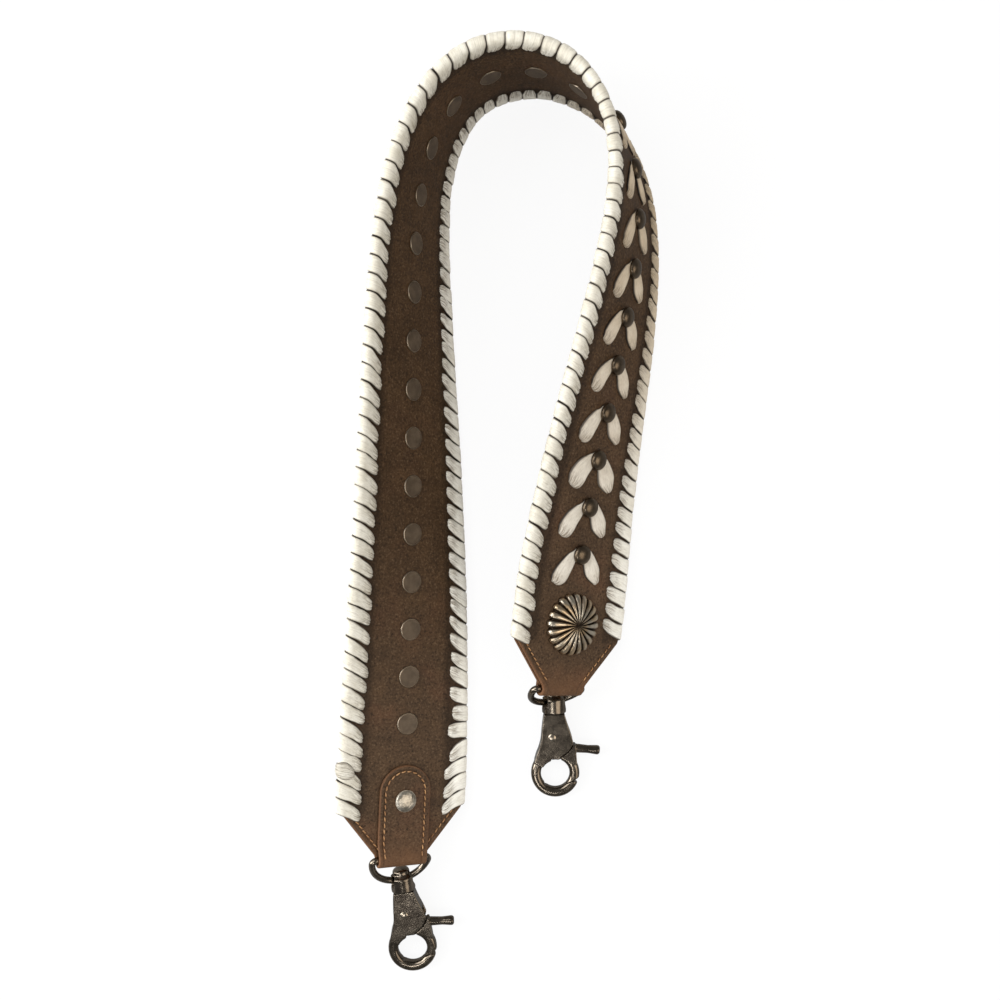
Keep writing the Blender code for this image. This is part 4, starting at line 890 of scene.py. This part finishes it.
def build_concho(end):
    """A fluted dome: rounded petals that swirl out from the crown, over a flat rim and a post."""
    along = from_end(end, CONCHO_FROM_FOLD[end])
    base = FRONT_FACE + 0.08 * MM
    share = np.r_[np.linspace(0.012, 0.92, 34), 0.945, 0.965, 0.983, 1.0][:, None]
    angle = round_angles(CONCHO_PETALS * 14)
    wave = np.abs(np.cos((angle + 0.1 * (1 - share) ** 2) * CONCHO_PETALS / 2))
    round_top = 1 - (1 - wave) ** 1.7
    reach = CONCHO_REACH * (1 - 0.13 * (1 - round_top) * share**5)
    dome = np.sqrt(np.clip(1 - share**2.4, 0, 1))
    dip = 1.5 * MM * (1 - round_top) * np.clip(share * 2.2, 0, 1) * (0.3 + 0.7 * dome)
    height = np.maximum(base + 0.5 * MM + 3.9 * MM * dome - dip, base + 0.3 * MM)
    top = round_rings(reach * share, height, angle)
    rim = reach[-1]
    lower = [(rim, base + 0.15 * MM), (rim * 0.985, base), (rim * 0.6, base), (rim * 0.19, base)]
    lower += [(2.1 * MM, base), (2.1 * MM, -TAB_OUTER_FACE)]
    rings = np.concatenate([top, [round_rings(radius, height, angle) for radius, height in lower]])
    ridge = np.zeros(rings.shape[:2])
    ridge[: len(top)] = round_top * (0.5 + 0.5 * np.clip(share * 3, 0, 1))
    marks = np.repeat(ridge[..., None], 3, -1)
    concho = surface(f"{end}_fluted_concho", on_strap(along, rings), marks)
    dress(concho, "strap", "old_silver", SILVER, f"{end}_concho")
    head = -TAB_OUTER_FACE - 0.05 * MM
    profile = [(1.05 * MM, base), (1.05 * MM, head), (4.0 * MM, head)]
    profile += quarter((3.85 * MM, head - 0.35 * MM), (0.35 * MM, 0.35 * MM), 60, -30, 5)
    profile += quarter((0, head - 0.3 * MM), (4.1 * MM, 1.1 * MM), -12, -86, 14)
    screw = surface(f"{end}_domed_screw", on_strap(along, turned_rings(profile, 44)), sharp=60)
    dress(screw, "strap", "old_silver", NICKEL, f"{end}_concho_screw")


def stitch_run(points, upward, radius):
    """Short sunken capsules along a polyline: grids of points, one per stitch."""
    run = run_along(points)
    count = int(run[-1] / STITCH_PITCH)
    starts = (run[-1] - count * STITCH_PITCH) / 2 + (np.arange(count) + 0.5) * STITCH_PITCH
    share = np.linspace(-1, 1, 9)
    at = starts[:, None] + share * STITCH_LENGTH / 2
    centre, up = (
        np.stack([np.interp(at, run, values[:, i]) for i in range(3)], -1) for values in (points, upward)
    )
    up = unit(up)
    side = np.cross(up, unit(np.gradient(centre, axis=1)))
    slant = side * (share[:, None] * 0.16 * STITCH_LENGTH / 2)
    arch = up * ((1 - share[:, None] ** 2) * radius * 0.9 - radius * 0.35)
    thick = radius * np.sqrt(np.clip(1 - np.abs(share) ** 3.5, 0.04, 1))
    return (centre + slant + arch)[:, :, None] + around(side, up, 8) * thick[:, None, None]


def build_stitching(end):
    """Tan thread round the tab and along both tapered edges, on the front and on the back."""
    inset = 2.3 * MM
    turn = np.linspace(-math.pi / 2, math.pi / 2, 40)
    straight = np.linspace(3.2 * MM, TAB_LENGTH - TAB_RADIUS, 30)[:-1]
    side = tab_at(straight)[1] - inset
    radius = TAB_RADIUS - inset
    along = np.r_[straight, TAB_LENGTH - TAB_RADIUS + radius * np.cos(turn), straight[::-1]]
    across = np.r_[-side, radius * np.sin(turn), side[::-1]]
    where = from_end(end, along)
    tab = place(where, across, -tab_at(along)[0] - FRONT_THICKNESS)
    runs = [stitch_run(tab, -read_lay("front", where), 0.27 * MM)]
    near = np.linspace(6.0 * MM, 21.0 * MM, 20)
    where = from_end(end, near)
    for side in (-1, 1):
        edge = side * (taper_half_width(near) - 3.1 * MM)
        for out, sign in ((FRONT_FACE, 1), (-LINER_FACE, -1)):
            normal = sign * read_lay("front", where)
            runs.append(stitch_run(place(where, edge, out), normal, 0.24 * MM))
    thread = surface(f"{end}_stitching", np.concatenate(runs))
    dress(thread, "strap", "oiled_brown_leather", THREAD)


def end_frames(end):
    """Axes of an end's ring, eye and snap, from its joints: rows X, Y, Z and the origin."""
    names = ("ring_hinge", "eye_hinge", "swivel_turn", "gate_hinge")
    joints = [next(j for j in frame["joints"] if j["name"] == f"{end}_{name}") for name in names]
    side, wire, hang, face = (unit(np.array(joint["axis"])) for joint in joints)
    bar, bow = (np.array(joint["pos_m"]) for joint in joints[:2])
    fall = unit(bow - bar - np.dot(bow - bar, side) * side)
    bore = unit(wire - np.dot(wire, hang) * hang)
    top = bow + hang * (EYE_BORE_TO_BASE + FIT_GAP)
    return {
        "ring": (np.stack([fall, side, np.cross(fall, side)]), bar),
        "eye": (np.stack([np.cross(bore, -hang), bore, -hang]), bow),
        "snap": (np.stack([np.cross(-hang, face), -hang, face]), top),
    }


def in_frame(points, axes):
    return np.asarray(points, float) @ axes[0] + axes[1]


def tube(path, radius, sides, looped=False):
    """Rings round a path that keeps to a level plane."""
    path = np.asarray(path, float)
    ahead = np.roll(path, -1, 0) - np.roll(path, 1, 0) if looped else np.gradient(path, axis=0)
    side = unit(np.cross(UPWARD, unit(ahead)))
    up = unit(np.cross(unit(ahead), side))
    return path[:, None] + around(side, up, sides) * np.broadcast_to(radius, len(path))[:, None, None]


def build_ring(end, axes):
    """Round wire bent to a D: a straight bar in the fold, tight corners and a half-round bow."""
    bow, corner = END_WIDTH / 2 + 0.5 * MM + RING_WIRE_RADIUS, 1.7 * MM
    turn = math.asin(corner / (bow - corner))
    reach = (bow - corner) * math.cos(turn)
    angles = np.linspace(math.pi / 2 - turn, -(math.pi / 2 - turn), 90)
    round_part = np.stack([bow * np.cos(angles), bow * np.sin(angles)], 1)
    bend = np.linspace(math.pi, math.pi / 2 - turn, 14)[1:-1]
    upper = np.stack([corner + corner * np.cos(bend), reach + corner * np.sin(bend)], 1)
    bar = np.stack([np.zeros(24), np.linspace(-reach, reach, 24)], 1)
    flat = np.concatenate([bar, upper, round_part, upper[::-1] * (1, -1)])
    path = np.c_[flat, np.zeros(len(flat))]
    rings = tube(path, RING_WIRE_RADIUS, 24, looped=True)
    ring = surface(f"{end}_wire_ring", in_frame(rings, axes), looped=True)
    dress(ring, f"{end}_ring", "gunmetal", GUNMETAL, f"{end}_d_ring")


def set_down(name, pattern, axes):
    """A copy of a casting pattern, moved to an end's place."""
    rows, origin = axes
    mesh = pattern.data.copy()
    mesh.transform(Matrix([[*rows[:, i], origin[i]] for i in range(3)] + [[0, 0, 0, 1]]))
    return add_object(name, mesh)


def slab(name, parts, low, high):
    """A plate between two heights, with an outline given in parts."""
    outline = np.concatenate(parts)
    return surface(name, [np.c_[outline, np.full(len(outline), z)] for z in (low, high)])


def arc(centre, radius, start, stop, steps):
    angle = np.radians(np.linspace(start, stop, steps))
    return np.stack([centre[0] + radius * np.cos(angle), centre[1] + radius * np.sin(angle)], 1)


def apply_modifiers(obj):
    bpy.context.view_layer.update()
    graph = bpy.context.evaluated_depsgraph_get()
    mesh = bpy.data.meshes.new_from_object(obj.evaluated_get(graph))
    obj.modifiers.clear()
    obj.data = mesh


def cut(obj, tool, operation="DIFFERENCE"):
    modifier = obj.modifiers.new("shaped", "BOOLEAN")
    modifier.operation = operation
    modifier.object = tool
    modifier.solver = "EXACT"
    apply_modifiers(obj)
    bpy.data.objects.remove(tool)


def cast(obj, grain=0.2 * MM, passes=10):
    """Melts a sharp solid into a casting: remeshed at an even grain, then its edges relaxed."""
    melt = obj.modifiers.new("melt", "REMESH")
    melt.mode = "VOXEL"
    melt.voxel_size = grain
    relax = obj.modifiers.new("relax", "SMOOTH")
    relax.factor = 0.5
    relax.iterations = passes
    apply_modifiers(obj)
    obj.data.shade_smooth()
    obj.data.materials.clear()
    return obj


# Snap and eye, in a snap's own plane
EYE_BORE_TO_BASE = 4.4 * MM
SNAP_PIVOT = np.array([-1.0, -9.0]) * MM
RING_CENTRE = np.array([0, -23.8]) * MM
OPENING_RADIUS = 5.6 * MM
HOOK_WIDTH = 3.9 * MM
HALF_SNAP = 3.2 * MM
HALF_HOOK = 2.2 * MM
HALF_SLOT = 2.0 * MM
CHEEK_RADIUS = 8.4 * MM
HUB_RADIUS = 3.5 * MM
JAW_SWEEP = 19.42 * MM
THUMB_ROOT = np.array([8.2, -14.2]) * MM
THUMB_END = np.array([17.6, -15.2]) * MM


def hook_rings(start, stop, steps):
    """Rounded sections swept round the snap's opening."""
    bulged = [np.sign(v) * np.abs(v) ** 0.72 for v in (np.cos(round_angles(28)), np.sin(round_angles(28)))]
    angle = np.radians(np.linspace(start, stop, steps))[:, None]
    radius = OPENING_RADIUS + HOOK_WIDTH / 2 + HOOK_WIDTH / 2 * bulged[0]
    return round_rings(radius, HALF_HOOK * bulged[1], angle) + (0, RING_CENTRE[1], 0)


def eye_pattern():
    """A turned knob and block with a flared cross bore for the ring's wire, and a headed post."""
    knob, block, base = 3.3 * MM, 4.7 * MM, -EYE_BORE_TO_BASE
    neck = base - 2.1 * MM
    profile = [(0.2 * MM, 5.0 * MM)]
    profile += quarter((0, 3.2 * MM), (knob, 1.8 * MM), 82, 5, 9)
    profile += [(knob, 2.7 * MM), (knob + 0.25 * MM, 2.35 * MM)]
    profile += quarter((block - 0.6 * MM, 1.0 * MM), (0.6 * MM, 0.6 * MM), 75, 0, 5)
    profile += quarter((block - 0.5 * MM, base + 0.5 * MM), (0.5 * MM, 0.5 * MM), 0, -90, 5)
    profile += [(1.3 * MM, base), (1.3 * MM, neck), (2.0 * MM, neck), (2.0 * MM, neck - 0.9 * MM)]
    eye = surface("eye_pattern", turned_rings(profile, 48))
    places = np.linspace(-5.8, 5.8, 25) * MM
    flare = 1.75 * MM + 1.85 * MM * (np.abs(places) / (5.7 * MM)) ** 1.25
    cut(eye, surface("bore", turned_rings(np.stack([flare, places], 1), 40)[..., (0, 2, 1)]))
    return cast(eye, 0.14 * MM, 5)


def snap_pattern():
    """Two cheeks, open between for the gate, that run down into a hook round the opening."""
    outline = [
        np.array([(4.0, 0.0), (4.5, -2.2), (5.3, -5.0), (6.1, -7.2), (6.7, -9.2)]) * MM,
        arc(SNAP_PIVOT, CHEEK_RADIUS, -14, -92, 24),
        arc(RING_CENTRE, OPENING_RADIUS, 108, 150, 14),
        arc(RING_CENTRE, OPENING_RADIUS + HOOK_WIDTH, 150, 148, 2),
        np.array([(-7.3, -16.2), (-6.5, -14.4), (-5.9, -12.6), (-5.45, -10.8), (-5.2, -9.0)]) * MM,
        np.array([(-5.0, -6.8), (-4.7, -4.5), (-4.4, -2.2), (-4.0, 0.0)]) * MM,
    ]
    body = slab("snap_pattern", outline, -HALF_SNAP, HALF_SNAP)
    hook = surface("hook", hook_rings(128, 336, 80))
    sweep = [arc(SNAP_PIVOT, JAW_SWEEP + 0.2 * MM, -100, -20, 40), [SNAP_PIVOT]]
    cut(hook, slab("jaw_path", sweep, -HALF_SNAP, HALF_SNAP))
    cut(body, hook, "UNION")
    by_hub = arc(SNAP_PIVOT, HUB_RADIUS + 0.5 * MM, 45, 222, 40)
    slot = [by_hub, arc(SNAP_PIVOT, CHEEK_RADIUS + 1.95 * MM, -112, 0, 30)]
    cut(body, slab("gate_slot", slot, -HALF_SLOT, HALF_SLOT))
    return cast(body)


def build_pin_and_spring(end, axes):
    """A pin with a domed head on each cheek, and a small coil round it."""
    pivot = np.array([*SNAP_PIVOT, 0])
    face = HALF_SNAP + 0.02 * MM
    shaft = [(0.2 * MM, face + 0.52 * MM)] + quarter((0, face), (1.6 * MM, 0.52 * MM), 78, 0, 8)
    profile = shaft + [(0.9 * MM, face), (0.9 * MM, -face)] + [(r, -h) for r, h in reversed(shaft)]
    pin = surface(f"{end}_headed_pin", in_frame(turned_rings(profile, 32) + pivot, axes), sharp=50)
    dress(pin, f"{end}_snap", "gunmetal", PIN_PLATE, f"{end}_pivot_pin")
    angle = np.linspace(0, 4 * math.pi, 73)
    coil = round_rings(1.6 * MM, -0.4 * MM + 0.9 * MM * angle / (2 * math.pi), angle)
    spring = surface(f"{end}_coiled_spring", in_frame(tube(coil + pivot, 0.2 * MM, 8), axes))
    dress(spring, f"{end}_snap", "old_silver", NICKEL, f"{end}_gate_spring")


def gate_pattern():
    """A hub between the cheeks, a jaw that closes the opening and a flattened thumb lever."""
    half_hub = HALF_SLOT - FIT_GAP
    reach = CHEEK_RADIUS + 0.5 * MM
    beyond = half_hub + MM
    hub = [arc(SNAP_PIVOT, HUB_RADIUS, 40, 240, 40), arc(SNAP_PIVOT, reach + 0.7 * MM, -91, -26, 18)]
    gate = slab("gate_pattern", hub, -half_hub, half_hub)
    jaw = surface("jaw", hook_rings(-62, 66, 60))
    foot = np.array([(8.2, -12.45), (8.6, -20.4), (4.0, -18.4)]) * MM
    shoulder = [arc(SNAP_PIVOT, reach - 0.7 * MM, -76, -24, 16), foot]
    cut(jaw, slab("shoulder", shoulder, -HALF_HOOK, HALF_HOOK), "UNION")
    keep = [arc(SNAP_PIVOT, reach, -110, 0, 30), arc(SNAP_PIVOT, JAW_SWEEP, 0, -110, 40)]
    cut(jaw, slab("trim", keep, -4 * MM, 4 * MM), "INTERSECT")
    cut(gate, jaw, "UNION")
    opening = [arc(RING_CENTRE, OPENING_RADIUS - 0.02 * MM, 0, 354, 60)]
    cut(gate, slab("opening", opening, -4 * MM, 4 * MM))
    share = np.linspace(-0.12, 1, 20)
    path = np.c_[THUMB_ROOT + (THUMB_END - THUMB_ROOT) * share[:, None], np.zeros(20)]
    thick = 1.75 * MM * np.interp(share, (-0.12, 0, 0.5, 0.9, 0.96, 1.0), (0.9, 1.0, 0.88, 1.06, 1.0, 0.7))
    cut(gate, surface("lever", tube(path, thick, 28)), "UNION")
    for name, radius, low in (("hole", 1.15 * MM, -beyond), ("seat", 2.05 * MM, half_hub - 2.6 * MM)):
        cut(gate, slab(name, [arc(SNAP_PIVOT, radius, 0, 348, 30)], low, beyond))
    return cast(gate, 0.18 * MM, 4)


def build_hardware():
    """Each end's ring, pin and spring, and its castings, set down from one pattern each."""
    castings = (
        ("turned_eye", eye_pattern(), "eye", "swivel", "swivel_eye"),
        ("cast_snap", snap_pattern(), "snap", "snap", "snap_body"),
        ("cast_gate", gate_pattern(), "snap", "trigger", "gate"),
    )
    for end in ENDS:
        axes = end_frames(end)
        build_ring(end, axes["ring"])
        build_pin_and_spring(end, axes["snap"])
        for name, pattern, where, body, node in castings:
            casting = set_down(f"{end}_{name}", pattern, axes[where])
            dress(casting, f"{end}_{body}", "gunmetal", GUNMETAL, f"{end}_{node}")
    for _, pattern, *_ in castings:
        bpy.data.objects.remove(pattern)


CAMERA_PLACE = (-0.47 * MM, 9.05 * MM, 450 * MM)
CAMERA_LENS = 40.94
LAMP_AIM = Vector((0, 0, 0.02))
WHITE = (1.0, 1.0, 1.0, 1.0)


def white_table():
    """A white table that keeps a soft shadow and is white to the camera."""
    half, z = 3.0, -0.00003
    corners = [(-half, -half, z), (half, -half, z), (half, half, z), (-half, half, z)]
    mesh = bpy.data.meshes.new("table")
    mesh.from_pydata(corners, [], [(0, 1, 2, 3)])
    table = add_object("table", mesh)
    f = Finish("white_table", Base_Color=(0.93, 0.93, 0.93, 1.0), Roughness=0.9)
    camera, glossy = f.ray("Camera"), f.ray("Glossy")
    glow = f.add("ShaderNodeEmission", {}, {"Color": WHITE, "Strength": camera + glossy * 0.15})
    mix = {0: camera * 0.90 + glossy * 0.8, 1: Value(f, f.shader.outputs[0]), 2: glow}
    both = f.add("ShaderNodeMixShader", {}, mix)
    f.tree.links.new(both.socket, f.tree.nodes["Material Output"].inputs[0])
    mesh.materials.append(f.material)


def plain_surround():
    """A surround that is white to the camera and dim to gloss, as in a studio."""
    world = bpy.data.worlds.new("surround")
    bpy.context.scene.world = world
    world.use_nodes = True
    nodes = Nodes(world.node_tree)
    strength = nodes.ray("Camera") * 0.43 - nodes.ray("Glossy") * 0.43 + 0.57
    back = nodes.tree.nodes["Background"]
    back.inputs["Color"].default_value = WHITE
    nodes.tree.links.new(strength.socket, back.inputs["Strength"])


def lamp(name, place_at, size, power, colour=(1.0, 1.0, 1.0)):
    data = bpy.data.lights.new(name, "AREA")
    data.shape = "RECTANGLE"
    data.size, data.size_y = size
    data.energy = power
    data.color = colour
    obj = add_object(name, data)
    obj.location = place_at
    obj.rotation_euler = (LAMP_AIM - obj.location).to_track_quat("-Z", "Y").to_euler()


def light_and_camera():
    lamp("key_lamp", (-0.7, 0.4, 0.85), (0.7, 0.9), 6.6)
    lamp("side_lamp", (-0.85, -0.02, 0.40), (0.36, 0.8), 7.4)
    lamp("top_lamp", (-0.22, -0.5, 0.9), (0.5, 0.06), 1.2)
    lamp("fill_lamp", (0.8, -0.3, 0.9), (0.8, 0.8), 3.8, (1.0, 0.9, 0.78))
    data = bpy.data.cameras.new("camera")
    data.lens = CAMERA_LENS
    data.sensor_width = 36.0
    data.clip_start = 0.01
    camera = add_object("camera", data)
    camera.location = CAMERA_PLACE
    bpy.context.scene.camera = camera
    bpy.context.scene.view_settings.view_transform = "Standard"


build_leather()
build_edge_lacing("outer_whip_lacing", 1, outer_lace_fit, 7, "outer_edge_lacing", EDGE_LACE, SPLICES)
build_edge_lacing("inner_whip_lacing", -1, inner_lace_fit, 19, "inner_edge_lacing", LIGHTENED_LOW_LACE)
build_chevrons()
build_rivets()
for strap_end in ENDS:
    build_concho(strap_end)
    build_stitching(strap_end)
build_hardware()
white_table()
plain_surround()
light_and_camera()
